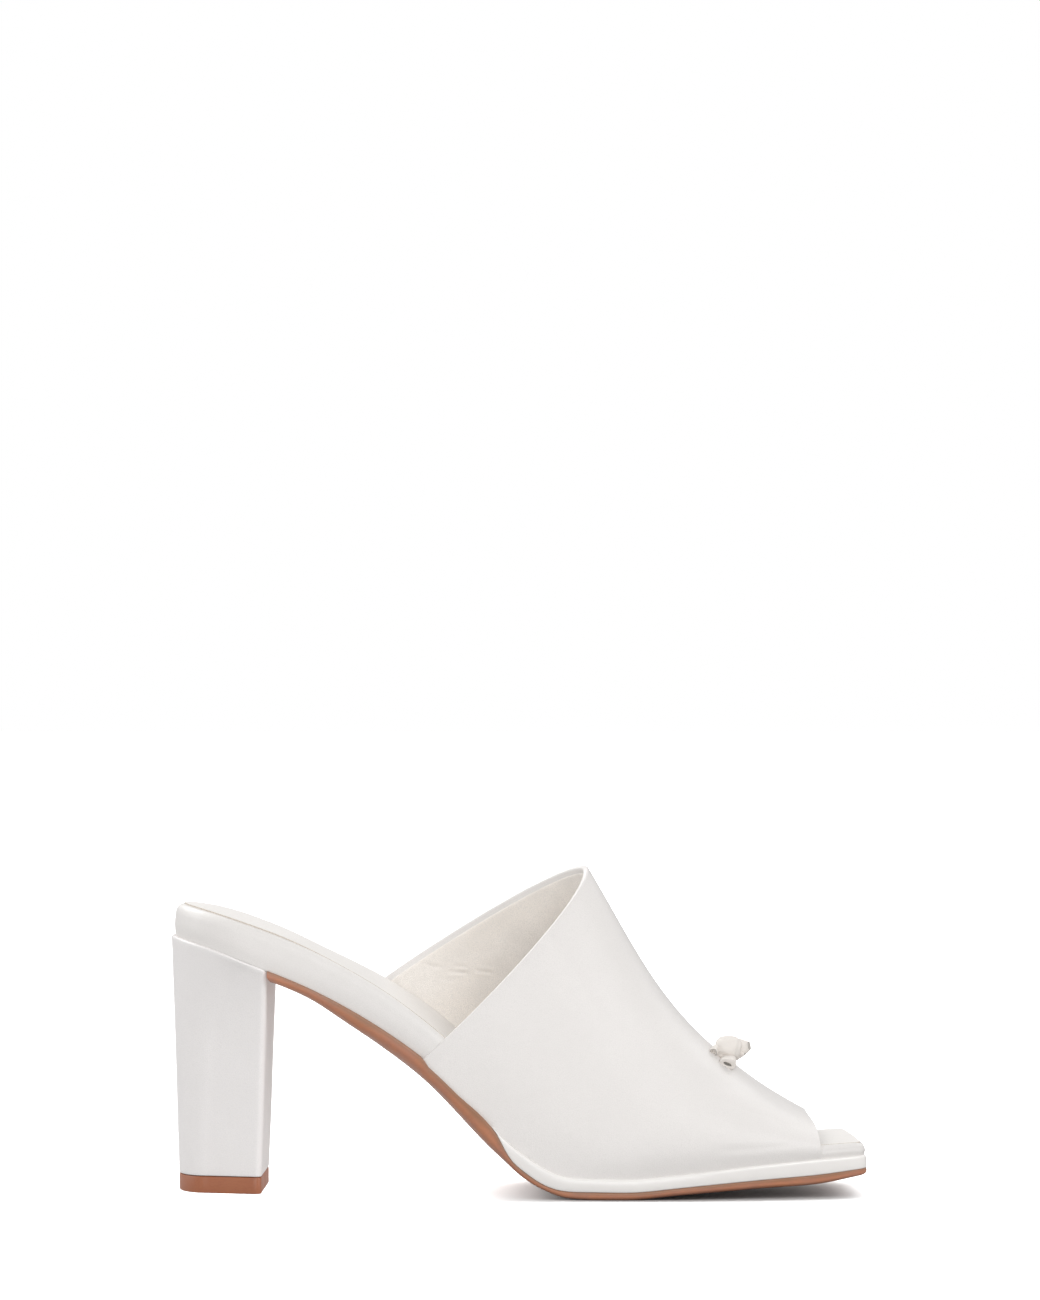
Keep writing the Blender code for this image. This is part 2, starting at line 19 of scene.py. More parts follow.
import bmesh
import bpy
import numpy as np
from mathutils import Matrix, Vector

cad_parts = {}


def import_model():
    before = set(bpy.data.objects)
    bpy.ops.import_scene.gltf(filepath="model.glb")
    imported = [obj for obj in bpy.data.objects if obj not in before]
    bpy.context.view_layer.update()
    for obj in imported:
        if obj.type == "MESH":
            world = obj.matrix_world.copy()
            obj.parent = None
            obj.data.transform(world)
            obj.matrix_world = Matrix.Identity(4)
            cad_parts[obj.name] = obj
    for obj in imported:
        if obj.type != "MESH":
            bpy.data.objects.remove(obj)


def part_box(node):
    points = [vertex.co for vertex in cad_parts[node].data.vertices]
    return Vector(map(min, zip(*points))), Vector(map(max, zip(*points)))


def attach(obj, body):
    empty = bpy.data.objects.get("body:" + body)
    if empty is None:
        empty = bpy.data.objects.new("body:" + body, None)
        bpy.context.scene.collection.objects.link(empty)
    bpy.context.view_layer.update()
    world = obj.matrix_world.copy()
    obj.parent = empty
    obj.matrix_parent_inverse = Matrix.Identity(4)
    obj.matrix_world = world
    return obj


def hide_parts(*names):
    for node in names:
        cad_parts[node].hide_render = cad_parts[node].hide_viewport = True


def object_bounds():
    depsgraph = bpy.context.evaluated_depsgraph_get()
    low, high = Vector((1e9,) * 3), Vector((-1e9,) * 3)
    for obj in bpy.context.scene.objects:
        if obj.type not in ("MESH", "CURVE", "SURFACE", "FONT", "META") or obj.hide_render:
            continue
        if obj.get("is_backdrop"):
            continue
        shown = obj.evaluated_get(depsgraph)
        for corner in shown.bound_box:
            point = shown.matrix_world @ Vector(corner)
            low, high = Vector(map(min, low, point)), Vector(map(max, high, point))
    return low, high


Triple = tuple[float, float, float]
MM = 0.001
QUARTER = math.pi / 2
TINY = 1e-9                  # keeps a length from being nothing
FIRM = 50.0                  # degrees past which an edge looks sharp, on hard pieces
SOFT = 60.0                  # and on soft and rounded ones
FINENESS = 2001              # samples from which crowded numbers are read
MARKS = ("line", "place")    # what each point of a piece in work is marked with
LOG = logging.getLogger("slide_sandal")
Array = np.ndarray


# ------------------------------------------------------------------ size tables
class SoleRow(NamedTuple):
    """One station of the sole."""

    x: float
    lateral: float   # half width on the outer side of the foot
    medial: float    # half width on the inner side
    ground: float    # height of the outsole's underside
    seat: float      # height that the footbed and the band stand on
    top: float       # height of the footbed's upper face
    strip: float     # thickness of the strip, just under the seat
    arch: float      # lift of the inner edge
    belly: float     # width of the rounding under the outsole's edge


SOLE = (
    SoleRow(0.0, 27.5, 27.5, 80.2, 82.8, 93.6, 0.0, 0.0, 1.0),
    SoleRow(12.0, 27.5, 27.5, 77.2, 79.8, 91.1, 0.0, 0.0, 1.0),
    SoleRow(32.0, 27.0, 26.6, 69.2, 72.4, 84.6, 0.0, -0.3, 2.0),
    SoleRow(45.0, 25.6, 25.2, 63.4, 66.9, 79.1, 0.0, -0.6, 4.0),
    SoleRow(57.0, 24.6, 24.6, 55.3, 60.7, 72.9, 0.0, 0.3, 7.0),
    SoleRow(69.0, 24.4, 25.0, 47.1, 53.5, 65.8, 0.0, 1.2, 8.0),
    SoleRow(82.0, 25.6, 27.0, 37.2, 44.4, 56.5, 0.0, 2.3, 8.0),
    SoleRow(90.0, 27.2, 29.0, 29.5, 37.3, 50.0, 0.0, 2.1, 8.0),
    SoleRow(98.0, 29.4, 31.2, 21.2, 29.5, 42.3, 0.0, 1.6, 7.0),
    SoleRow(105.0, 31.4, 33.2, 14.5, 22.2, 34.8, 0.3, 1.0, 5.0),
    SoleRow(109.6, 32.8, 34.5, 10.7, 17.8, 29.8, 4.0, 0.7, 3.0),
    SoleRow(112.0, 33.5, 35.1, 8.5, 16.0, 27.2, 5.1, 0.5, 1.6),
    SoleRow(121.0, 35.6, 37.2, 3.0, 10.1, 18.2, 5.4, 0.0, 1.1),
    SoleRow(129.0, 36.9, 38.9, 0.4, 7.2, 13.2, 4.6, 0.0, 1.3),
    SoleRow(138.0, 37.5, 40.2, 0.0, 6.8, 11.8, 4.3, 0.0, 1.4),
    SoleRow(147.0, 37.7, 40.9, 0.0, 6.6, 11.3, 4.2, 0.0, 1.5),
    SoleRow(165.0, 36.0, 40.8, 1.4, 8.0, 12.3, 4.2, 0.0, 1.6),
    SoleRow(190.0, 31.2, 38.3, 3.2, 10.6, 14.8, 4.7, 0.0, 1.6),
    SoleRow(207.0, 27.2, 36.0, 4.1, 12.1, 16.3, 5.0, 0.0, 1.5),
    SoleRow(225.0, 22.6, 33.6, 7.2, 13.4, 17.4, 4.2, 0.0, 1.2),
)


class InsetRow(NamedTuple):
    """How far a piece's side stands in from the sole's outline."""

    x: float
    lateral: float
    medial: float


FOOTBED_INSETS = (
    InsetRow(0.0, 0.9, 0.9),
    InsetRow(48.0, 0.9, 0.9),
    InsetRow(60.0, 0.9, 1.7),
    InsetRow(74.0, 0.9, 1.9),
    InsetRow(86.0, 1.7, 2.1),
    InsetRow(100.0, 2.2, 2.1),
    InsetRow(200.0, 2.0, 2.0),
    InsetRow(206.0, 1.9, 1.5),
    InsetRow(212.0, 1.2, 1.0),
    InsetRow(225.0, 0.7, 0.9),
)

SOCK_INSETS = (
    InsetRow(0.0, 3.9, 3.9),
    InsetRow(50.0, 3.9, 3.7),
    InsetRow(66.0, 3.9, 3.1),
    InsetRow(80.0, 3.9, 3.0),
    InsetRow(92.0, 4.6, 3.2),
    InsetRow(104.0, 5.2, 3.4),
    InsetRow(198.0, 5.0, 3.4),
    InsetRow(208.0, 3.2, 3.0),
    InsetRow(214.0, 2.6, 2.4),
    InsetRow(225.0, 2.1, 2.1),
)


class BandRow(NamedTuple):
    """One section of the band, from the collar to the toe edge."""

    row: float
    lateral: float   # x of the section's foot on the outer side
    medial: float    # x of its foot on the inner side
    ridge: float     # x of its crown
    height: float    # z of its crown
    side: float      # y of its crown
    square: float    # 2 is an ellipse, more is a flatter, squarer arch
    hook: float      # 1 leans evenly to the crown, more leans near the crown


BAND = (
    BandRow(0, 81.7, 57.6, 134.6, 104.8, 4.5, 2.30, 1.0),
    BandRow(1, 94.0, 74.0, 140.8, 94.1, 4.5, 2.28, 1.0),
    BandRow(2, 107.0, 92.0, 148.0, 81.4, 4.6, 2.25, 1.0),
    BandRow(3, 121.5, 110.0, 156.0, 68.4, 4.8, 2.22, 1.0),
    BandRow(4, 137.5, 129.0, 164.5, 57.2, 5.0, 2.22, 1.0),
    BandRow(5, 154.0, 148.0, 173.5, 47.9, 5.3, 2.30, 1.1),
    BandRow(6, 171.5, 166.5, 183.0, 40.0, 5.8, 2.45, 1.4),
    BandRow(7, 190.4, 186.0, 193.1, 32.5, 6.4, 2.75, 2.4),
    BandRow(8, 210.2, 205.5, 206.1, 24.8, 7.0, 3.10, 6.0),
)


class HeelRow(NamedTuple):
    """One level of the heel, from its seat down to its tip."""

    level: float     # 1 at the seat, 0 at the bottom
    back: float      # x of the back edge
    front: float     # x of the breast
    width: float     # half width at the breast
    shoulder: float  # half width where the round back starts
    round: float     # length of the round back


HEEL = (
    HeelRow(0.00, 2.15, 30.05, 20.0, 16.0, 10.0),
    HeelRow(0.30, 1.40, 30.85, 20.6, 16.9, 11.5),
    HeelRow(0.60, 0.70, 31.45, 21.8, 18.6, 14.0),
    HeelRow(0.85, 0.00, 31.95, 24.0, 22.2, 19.0),
    HeelRow(1.00, -0.40, 32.15, 26.4, 26.2, 25.0),
)


# ------------------------------------------------------------------ shape maths
class Curve:
    """A size read from a short table at any place, on a curve without kinks."""

    SAMPLES: ClassVar[int] = 4000
    BELL_REACHES: ClassVar[int] = 3   # how many reaches wide half of the bell is

    def __init__(self, at: Sequence[float], values: Sequence[float],
                 soften: float = 0.0) -> None:
        """Fit the curve.

        Args:
            at: places of the table's rows, rising.
            values: the size at each place.
            soften: how far the curve's bends are spread, in the places' unit.
        """
        knots, sizes = np.asarray(at, float), np.asarray(values, float)
        steps = np.diff(knots)
        slopes = np.diff(sizes) / steps
        tangents = np.zeros(len(knots))
        tangents[0], tangents[-1] = slopes[0], slopes[-1]
        for i in range(1, len(knots) - 1):
            before, after = slopes[i - 1], slopes[i]
            if before * after > 0.0:
                first = 2.0 * steps[i] + steps[i - 1]
                second = steps[i] + 2.0 * steps[i - 1]
                tangents[i] = (first + second) / (first / before + second / after)
        self.at = np.linspace(knots[0], knots[-1], self.SAMPLES)
        i = np.clip(np.searchsorted(knots, self.at, side="right") - 1, 0, len(steps) - 1)
        t = (self.at - knots[i]) / steps[i]
        rising = (1 + 2 * t) * (1 - t) ** 2 * sizes[i]
        rising += t * (1 - t) ** 2 * steps[i] * tangents[i]
        falling = t * t * (3 - 2 * t) * sizes[i + 1]
        falling += t * t * (t - 1) * steps[i] * tangents[i + 1]
        self.values = rising + falling
        if soften > 0.0:
            self.values = self._softened(soften)

    def _softened(self, reach: float) -> Array:
        """Average the curve over a bell of the given reach, keeping its ends.

        Args:
            reach: how wide the bell is, in the places' unit.

        Returns:
            The curve's softened sizes.
        """
        pitch = self.at[1] - self.at[0]
        half = int(self.BELL_REACHES * reach / pitch)
        bell = np.exp(-0.5 * (np.arange(-half, half + 1) * pitch / reach) ** 2)
        start = 2 * self.values[0] - self.values[half:0:-1]
        end = 2 * self.values[-1] - self.values[-2:-half - 2:-1]
        padded = np.concatenate([start, self.values, end])
        return np.convolve(padded, bell / bell.sum(), mode="valid")

    def __call__(self, at: Array) -> Array:
        """Read the size at each place."""
        return np.interp(at, self.at, self.values)


def read_table(rows: Sequence[NamedTuple], key: str, soften: float = 0.0) -> dict[str, Curve]:
    """Make one curve for each column of a table, over its key column.

    Args:
        rows: the table.
        key: the column that the curves run over.
        soften: how far their bends are spread, in the key's unit.

    Returns:
        The curves by the names of their columns.
    """
    at = [getattr(row, key) for row in rows]
    names = [name for name in rows[0]._fields if name != key]
    return {name: Curve(at, [getattr(row, name) for row in rows], soften) for name in names}


def ease(t: Array) -> Array:
    """Go from 0 to 1 with level ends."""
    t = np.clip(t, 0.0, 1.0)
    return t * t * (3 - 2 * t)


class Fade(NamedTuple):
    """A place where something comes in, and the length over which it does."""

    start: float
    length: float   # it goes the other way where this is negative

    def __call__(self, at: Array) -> Array:
        """Go from 0 at the start to 1 past the length."""
        return ease((at - self.start) / self.length)


def crowded(count: int, at: float, spread: float, extra: float) -> Array:
    """Spread numbers from 0 to 1, with extra ones crowded round one place.

    Args:
        count: how many numbers there are.
        at: the place they crowd round.
        spread: how far from it they still do.
        extra: how many more there are at the place itself, as a share.

    Returns:
        The numbers, rising.
    """
    fine = np.linspace(0.0, 1.0, FINENESS)
    total = np.cumsum(1.0 + extra * np.exp(-((fine - at) / spread) ** 2))
    total = (total - total[0]) / (total[-1] - total[0])
    return np.interp(np.linspace(0.0, 1.0, count), total, fine)


def pushed_in(ring: Array, distance: Array) -> Array:
    """Move a closed plan outline inwards by a distance at each of its points.

    Args:
        ring: the outline, as (points, 2).
        distance: how far in, one for all points or one for each.

    Returns:
        The moved outline.
    """
    along = np.roll(ring, -1, axis=0) - np.roll(ring, 1, axis=0)
    along /= np.maximum(np.linalg.norm(along, axis=1, keepdims=True), TINY)
    inward = np.stack([along[:, 1], -along[:, 0]], axis=1)
    turning = ring * np.roll(ring, -1, axis=0)[:, ::-1]
    if (turning[:, 0] - turning[:, 1]).sum() > 0.0:
        inward = -inward
    return ring + inward * np.asarray(distance).reshape(-1, 1)


@dataclass
class Last:
    """The form that the sandal is built on: outline and heights of the sole."""

    heel_round: float = 27.0     # radius of the round back of the seat
    toe_end: float = 224.4       # x of the toe on its outer corner
    toe_corner: float = 3.0
    toe_slant: float = 3.6       # how much shorter the inner side is
    slant_from: float = 150.0
    toe_bulge: float = 0.5
    line_pitch: float = 1.3      # distance between cross lines
    places: int = 37             # points along each cross line
    corner_lines: int = 8        # cross lines in the toe's corners
    softening: float = 1.6       # how far the table's bends are spread
    strip_softening: float = 0.5
    margin: float = 1.3          # the band's leather laps over the sole's edge
    margin_step: float = 1.6     # length over which the lap comes in
    margin_lateral: float = 83.0   # x where it starts on the outer side
    margin_medial: float = 59.2
    margin_end: float = 93.0     # x from where the strip takes its place
    margin_fade: float = 10.0
    table: dict[str, Curve] = field(init=False)

    def __post_init__(self) -> None:
        """Read the sole's table."""
        self.table = read_table(SOLE, "x", self.softening)
        self.table["strip"] = Curve([row.x for row in SOLE], [row.strip for row in SOLE],
                                    self.strip_softening)

    def half_width(self, x: Array, side: str) -> Array:
        """Half width of the sole's outline, with its round back."""
        back = np.clip(1.0 - np.asarray(x) / self.heel_round, 0.0, 1.0)
        return self.table[side](x) * np.sqrt(1.0 - back ** 2)

    def lift(self, x: Array, y: Array) -> Array:
        """Rise of the inner side over the outer side, in the arch."""
        t = np.clip(y / self.table["medial"](x), 0.0, 1.0)
        return self.table["arch"](x) * t * t

    def ground(self, x: Array, y: Array) -> Array:
        """Height of the outsole's underside."""
        return self.table["ground"](x) + self.lift(x, y)

    def seat(self, x: Array, y: Array) -> Array:
        """Height that the footbed stands on."""
        return self.table["seat"](x) + self.lift(x, y)

    def across(self, x: Array, y: Array) -> Array:
        """Go from 0 on the outer side to 1 on the inner side."""
        return np.clip(0.5 + y / (2 * self.table["medial"](x)), 0.0, 1.0)

    def lap(self, x: Array, y: Array) -> Array:
        """How far the band's margin laps down over the sole's edge.

        Args:
            x: places along the sole.
            y: places across it.

        Returns:
            The depth of the lap at each place.
        """
        side = self.across(x, y)
        start = self.margin_lateral + (self.margin_medial - self.margin_lateral) * side
        tail = 1.0 - ease((x - self.margin_end) / self.margin_fade)
        return self.margin * ease((x - start) / self.margin_step) * tail

    def tread_top(self, x: Array, y: Array) -> Array:
        """Height of the outsole's upper face, which carries the strip."""
        return self.seat(x, y) - self.table["strip"](x) - self.lap(x, y)

    def bed_top(self, x: Array, y: Array) -> Array:
        """Height of the footbed's upper face."""
        return self.table["top"](x) + self.lift(x, y)

    def at_toe(self, x: Array, y: Array) -> Array:
        """Go from 0 behind the toe's two corners to 1 along its end."""
        end = self.toe_end - self.toe_slant * self.across(x, y)
        return ease((x - end) / self.toe_corner + 1.0)

    def cross_lines(self, start: float | None) -> Array:
        """Lay out the cross lines of a plate, as (lines, places, 2) plan points.

        Args:
            start: x of the first line, or None for the full round back.

        Returns:
            The plan points, from the heel to the toe and from the outer side to the inner.
        """
        diagonal = QUARTER / 2
        first = self.heel_round * (1 - math.cos(diagonal)) if start is None else start
        straight_end = self.toe_end - self.toe_corner
        count = int(round((straight_end - first) / self.line_pitch))
        corner = np.sin(np.linspace(0.0, QUARTER, self.corner_lines + 1)[1:])
        xs = np.concatenate([np.linspace(first, straight_end, count + 1),
                             straight_end + self.toe_corner * corner])
        past = np.maximum(0.0, xs - straight_end)
        pull = self.toe_corner - np.sqrt(np.maximum(0.0, self.toe_corner ** 2 - past ** 2))
        slant = self.toe_slant * ease((xs - self.slant_from) / (self.toe_end - self.slant_from))
        outer = np.stack([xs, pull - self.half_width(xs, "lateral")], axis=1)
        inner = np.stack([xs - slant, self.half_width(xs - slant, "medial") - pull], axis=1)
        t = np.linspace(0.0, 1.0, self.places)
        lines = outer[:, None, :] * (1 - t)[:, None] + inner[:, None, :] * t[:, None]
        bow = self.toe_bulge * (past / self.toe_corner)[:, None] * 4 * t * (1 - t)
        lines[:, :, 0] += bow
        if start is None:
            angle = diagonal * (2 * t - 1)
            lines[0, :, 0] = self.heel_round * (1 - np.cos(angle))
            lines[0, :, 1] = self.half_width(self.heel_round, "medial") * np.sin(angle)
        return lines


@dataclass(frozen=True)
class Crease:
    """A soft trough in leather, placed on a side view of the foot."""

    start: tuple[float, float]   # x and z
    end: tuple[float, float]
    inner_side: bool
    depth: float
    width: float
    bow: float = 0.0             # how far its middle drops
    RIDGE: ClassVar[float] = 0.35        # height of the ridge along each side of it
    RIDGE_AT: ClassVar[float] = 1.9      # where that stands, in the crease's widths
    RIDGE_WIDTH: ClassVar[float] = 0.9
    SIDE_FADE: ClassVar[float] = 8.0     # distance from the middle where it is full

    def press(self, points: Array) -> Array:
        """Say how far each point is pressed in.

        Args:
            points: points of the leather, three numbers each.

        Returns:
            How far each is moved in; less than nothing on the ridges.
        """
        start, end = np.array(self.start), np.array(self.end)
        along = end - start
        flat = points[..., [0, 2]]
        t = np.clip(((flat - start) @ along) / (along @ along), 0.0, 1.0)
        nearest = start + t[..., None] * along
        nearest[..., 1] -= self.bow * 4 * t * (1 - t)
        gap = np.linalg.norm(flat - nearest, axis=-1) / self.width
        fade = 1.0 - (2 * t - 1) ** 4
        ridge = np.exp(-((gap - self.RIDGE_AT) / self.RIDGE_WIDTH) ** 2)
        profile = np.exp(-gap ** 2) - self.RIDGE * ridge
        outward = points[..., 1] if self.inner_side else -points[..., 1]
        return self.depth * profile * fade * ease(outward / self.SIDE_FADE)


# ------------------------------------------------------------------ the workbench
class Bench:
    """Where pieces are modelled: primitives, extrusions and finishing."""

    SHARP: ClassVar[float] = 50.0     # edges that turn more than this are rounded

    def __init__(self) -> None:
        """Find where the maker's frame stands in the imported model."""
        heel_low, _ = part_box("heel")
        tip_low, tip_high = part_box("heel_tip")
        back = min(row.back for row in HEEL)
        centre = (tip_low.y + tip_high.y) / 2
        self.origin = np.array([heel_low.x - back * MM, centre, tip_low.z])

    def to_frame(self, points: Array) -> Array:
        """Turn millimetres of the maker's frame into metres of the model."""
        return np.asarray(points) * MM + self.origin

    def points(self, piece: bpy.types.Object) -> Array:
        """Read a piece's points in millimetres of the maker's frame.

        Args:
            piece: the piece to read.

        Returns:
            Its points, as (points, 3).
        """
        flat = np.empty(3 * len(piece.data.vertices))
        piece.data.vertices.foreach_get("co", flat)
        return (flat.reshape(-1, 3) - self.origin) / MM

    @staticmethod
    def clear_selection() -> None:
        """Leave nothing selected."""
        bpy.ops.object.select_all(action="DESELECT")

    def pick(self, piece: bpy.types.Object) -> None:
        """Make one piece the only one that the next operator works on.

        Args:
            piece: the piece to select and make active.
        """
        self.clear_selection()
        piece.select_set(True)
        bpy.context.view_layer.objects.active = piece

    def grid(self, name: str, points: Array) -> bpy.types.Object:
        """Lay a grid of faces over (lines, places, 3) points.

        Args:
            name: the piece's name.
            points: where each crossing is placed.

        Returns:
            The new piece, one open sheet.
        """
        lines, places = points.shape[:2]
        self.clear_selection()
        bpy.ops.mesh.primitive_grid_add(
            x_subdivisions=lines - 1, y_subdivisions=places - 1, size=1.0)
        piece = bpy.context.object
        piece.name = piece.data.name = name
        flat = np.empty(len(piece.data.vertices) * 3)
        piece.data.vertices.foreach_get("co", flat)
        start = flat.reshape(-1, 3) + 0.5
        line = np.rint(start[:, 0] * (lines - 1)).astype(int)
        place = np.rint(start[:, 1] * (places - 1)).astype(int)
        self._mark(piece, line, place)
        piece.data.vertices.foreach_set("co", self.to_frame(points[line, place]).ravel())
        return piece

    def ring(self, name: str, points: Array) -> bpy.types.Object:
        """Lay a filled circle over (places, 3) points.

        Args:
            name: the piece's name.
            points: where each corner is placed.

        Returns:
            The new piece, one flat face.
        """
        self.clear_selection()
        bpy.ops.mesh.primitive_circle_add(
            vertices=len(points), radius=1.0, fill_type="NGON")
        piece = bpy.context.object
        piece.name = piece.data.name = name
        self._mark(piece, np.zeros(len(points)), np.arange(len(points)))
        piece.data.vertices.foreach_set("co", self.to_frame(points).ravel())
        return piece

    @staticmethod
    def _mark(piece: bpy.types.Object, line: Array, place: Array) -> None:
        """Note on each point its line and place, which extruded points keep.

        Args:
            piece: the piece in work.
            line: each point's line.
            place: each point's place along it.
        """
        for label, values in zip(MARKS, (line, place)):
            mark = piece.data.attributes.new(label, "INT", "POINT")
            mark.data.foreach_set("value", values.astype(np.int32))

    def extrude(self, piece: bpy.types.Object, levels: Sequence[Array]) -> None:
        """Extrude all of a piece through levels, each placed point by point.

        Args:
            piece: a grid or a ring.
            levels: the points of each level, laid out as its first ones were.
        """
        self.pick(piece)
        bpy.ops.object.mode_set(mode="EDIT")
        bpy.ops.mesh.select_mode(type="FACE")
        bpy.ops.mesh.select_all(action="SELECT")
        for level in levels:
            placed = self.to_frame(level)
            if placed.ndim == 2:
                placed = placed[None]
            bpy.ops.mesh.extrude_region_move()
            mesh = bmesh.from_edit_mesh(piece.data)
            line, place = (mesh.verts.layers.int[label] for label in MARKS)
            for vertex in mesh.verts:
                if vertex.select:
                    vertex.co = placed[vertex[line], vertex[place]]
            bmesh.update_edit_mesh(piece.data)
        bpy.ops.mesh.select_all(action="SELECT")
        bpy.ops.mesh.normals_make_consistent(inside=False)
        bpy.ops.object.mode_set(mode="OBJECT")

    def solidify(self, piece: bpy.types.Object, wall: float) -> None:
        """Give a sheet its wall, inwards from the face it was laid on."""
        self.modify(piece, "SOLIDIFY", thickness=wall * MM, offset=-1.0,
                    use_even_offset=True, use_quality_normals=True)

    def round_edges(self, piece: bpy.types.Object, width: float, segments: int) -> None:
        """Round every sharp edge of a piece."""
        self.modify(piece, "BEVEL", width=width * MM, segments=segments,
                    limit_method="ANGLE", angle_limit=math.radians(self.SHARP))

    def modify(self, piece: bpy.types.Object, kind: str, **settings: object) -> None:
        """Add a modifier with its settings and apply it.

        Args:
            piece: the piece to change.
            kind: the modifier's type.
            settings: its settings by name.
        """
        self.pick(piece)
        bpy.ops.object.modifier_add(type=kind)
        modifier = piece.modifiers[-1]
        for name, value in settings.items():
            setattr(modifier, name, value)
        bpy.ops.object.modifier_apply(modifier=modifier.name)

    def smooth(self, piece: bpy.types.Object, angle: float = 40.0) -> None:
        """Shade a piece smooth, with sharp edges where it turns more than angle."""
        self.pick(piece)
        bpy.ops.object.shade_smooth_by_angle(angle=math.radians(angle))


@dataclass(frozen=True)
class Rim:
    """How a plate's rim is shaped: rounding under, rounding over, side bulge."""

    under: Callable[[Array], Array]         # these three are given plan points
    under_height: Callable[[Array], Array]
    over: Callable[[Array], Array]
    over_height: float
    bulge: float = 0.0
    under_steps: int = 6
    over_steps: int = 6
    side_steps: int = 3


class Plate:
    """A closed plate over cross lines, between two surfaces, with a worked rim."""

    UNDER_SHARE: ClassVar[float] = 0.66   # the most of its height that is rounded under
    OVER_SHARE: ClassVar[float] = 0.38    # and rounded over

    def __init__(self, lines: Array, inset: Callable[[Array], Array],
                 underside: Callable[[Array, Array], Array],
                 topside: Callable[[Array, Array], Array], rim: Rim) -> None:
        """Keep the plate's plan, surfaces and rim.

        Args:
            lines: (lines, places, 2) cross lines of the full outline.
            inset: distance in from the outline, for plan points.
            underside: height of the lower face at x and y.
            topside: height of the upper face at x and y.
            rim: the shape of the rim.
        """
        self.lines, self.inset = lines, inset
        self.underside, self.topside, self.rim = underside, topside, rim
        last, end = lines.shape[0] - 1, lines.shape[1] - 1
        keys = [(0, k) for k in range(end)] + [(i, end) for i in range(last)]
        keys += [(last, k) for k in range(end, 0, -1)] + [(i, 0) for i in range(last, 0, -1)]
        self.keys = np.array(keys)
        self.outline = lines[self.keys[:, 0], self.keys[:, 1]]

    def levels(self) -> list[Array]:
        """Work out the plate's levels, from the lower face to the upper one.

        Returns:
            The points of each level, as (lines, places, 3).
        """
        rim, plan = self.rim, self.outline
        steps = []   # how far each level is pushed in, and its shares of the three heights
        for angle in np.linspace(0.0, QUARTER, rim.under_steps + 1):
            steps.append((rim.under(plan) * (1 - math.sin(angle)), (1 - math.cos(angle), 0, 0)))
        for t in np.linspace(0.0, 1.0, rim.side_steps + 2)[1:-1]:
            push = -rim.bulge * math.sin(math.pi * t) * np.ones(len(plan))
            steps.append((push, (1, t, 0)))
        for angle in np.linspace(0.0, QUARTER, rim.over_steps + 1):
            steps.append((rim.over(plan) * (1 - math.cos(angle)), (1, 1, math.sin(angle))))
        made = []
        inset = self.inset(plan)
        for index, (push, (rise, side, top)) in enumerate(steps):
            ring = pushed_in(plan, inset + push)
            low = self.underside(ring[:, 0], ring[:, 1])
            room = self.topside(ring[:, 0], ring[:, 1]) - low
            under = np.minimum(rim.under_height(plan), self.UNDER_SHARE * room)
            over = np.minimum(rim.over_height, self.OVER_SHARE * room)
            z = low + under * rise + (room - under - over) * side + over * top
            surface = self.underside if index == 0 else self.topside
            made.append(self._level(ring, z, surface))
        return made

    def _level(self, ring: Array, z: Array, surface: Callable[[Array, Array], Array]) -> Array:
        """Spread a ring's points over the whole of a level's cross lines.

        Args:
            ring: the level's outline.
            z: the outline's heights.
            surface: height of the level's inner points at x and y.

        Returns:
            The level's points, as (lines, places, 3).
        """
        lines, places = self.lines.shape[:2]
        level = np.zeros((lines, places, 3))
        level[self.keys[:, 0], self.keys[:, 1], :2] = ring
        t = np.linspace(0.0, 1.0, places)[None, 1:-1, None]
        start, end = level[1:-1, :1, :2], level[1:-1, -1:, :2]
        level[1:-1, 1:-1, :2] = start * (1 - t) + end * t
        level[..., 2] = surface(level[..., 0], level[..., 1])
        level[self.keys[:, 0], self.keys[:, 1], 2] = z
        return level

    def build(self, bench: Bench, name: str) -> bpy.types.Object:
        """Model the plate: its lower face, extruded through the levels.

        Args:
            bench: where it is modelled.
            name: the piece's name.

        Returns:
            The closed plate.
        """
        levels = self.levels()
        piece = bench.grid(name, levels[0])
        bench.extrude(piece, levels[1:])
        return piece

    def rim_faces(self, piece: bpy.types.Object) -> list[bpy.types.MeshPolygon]:
        """Find the faces all round the built plate's side.

        Args:
            piece: the plate that build made.

        Returns:
            The faces of its side.
        """
        count = len(piece.data.vertices)
        line, place = np.empty(count, np.int32), np.empty(count, np.int32)
        for label, values in zip(MARKS, (line, place)):
            piece.data.attributes[label].data.foreach_get("value", values)
        lines, places = self.lines.shape[:2]
        outer = (line == 0) | (line == lines - 1) | (place == 0) | (place == places - 1)
        return [face for face in piece.data.polygons if outer[list(face.vertices)].all()]


# ------------------------------------------------------------------ the finishes
Rgb = Triple
Colour = bpy.types.NodeSocket | tuple[float, float, float, float]
Value = bpy.types.NodeSocket | float | Sequence[float]


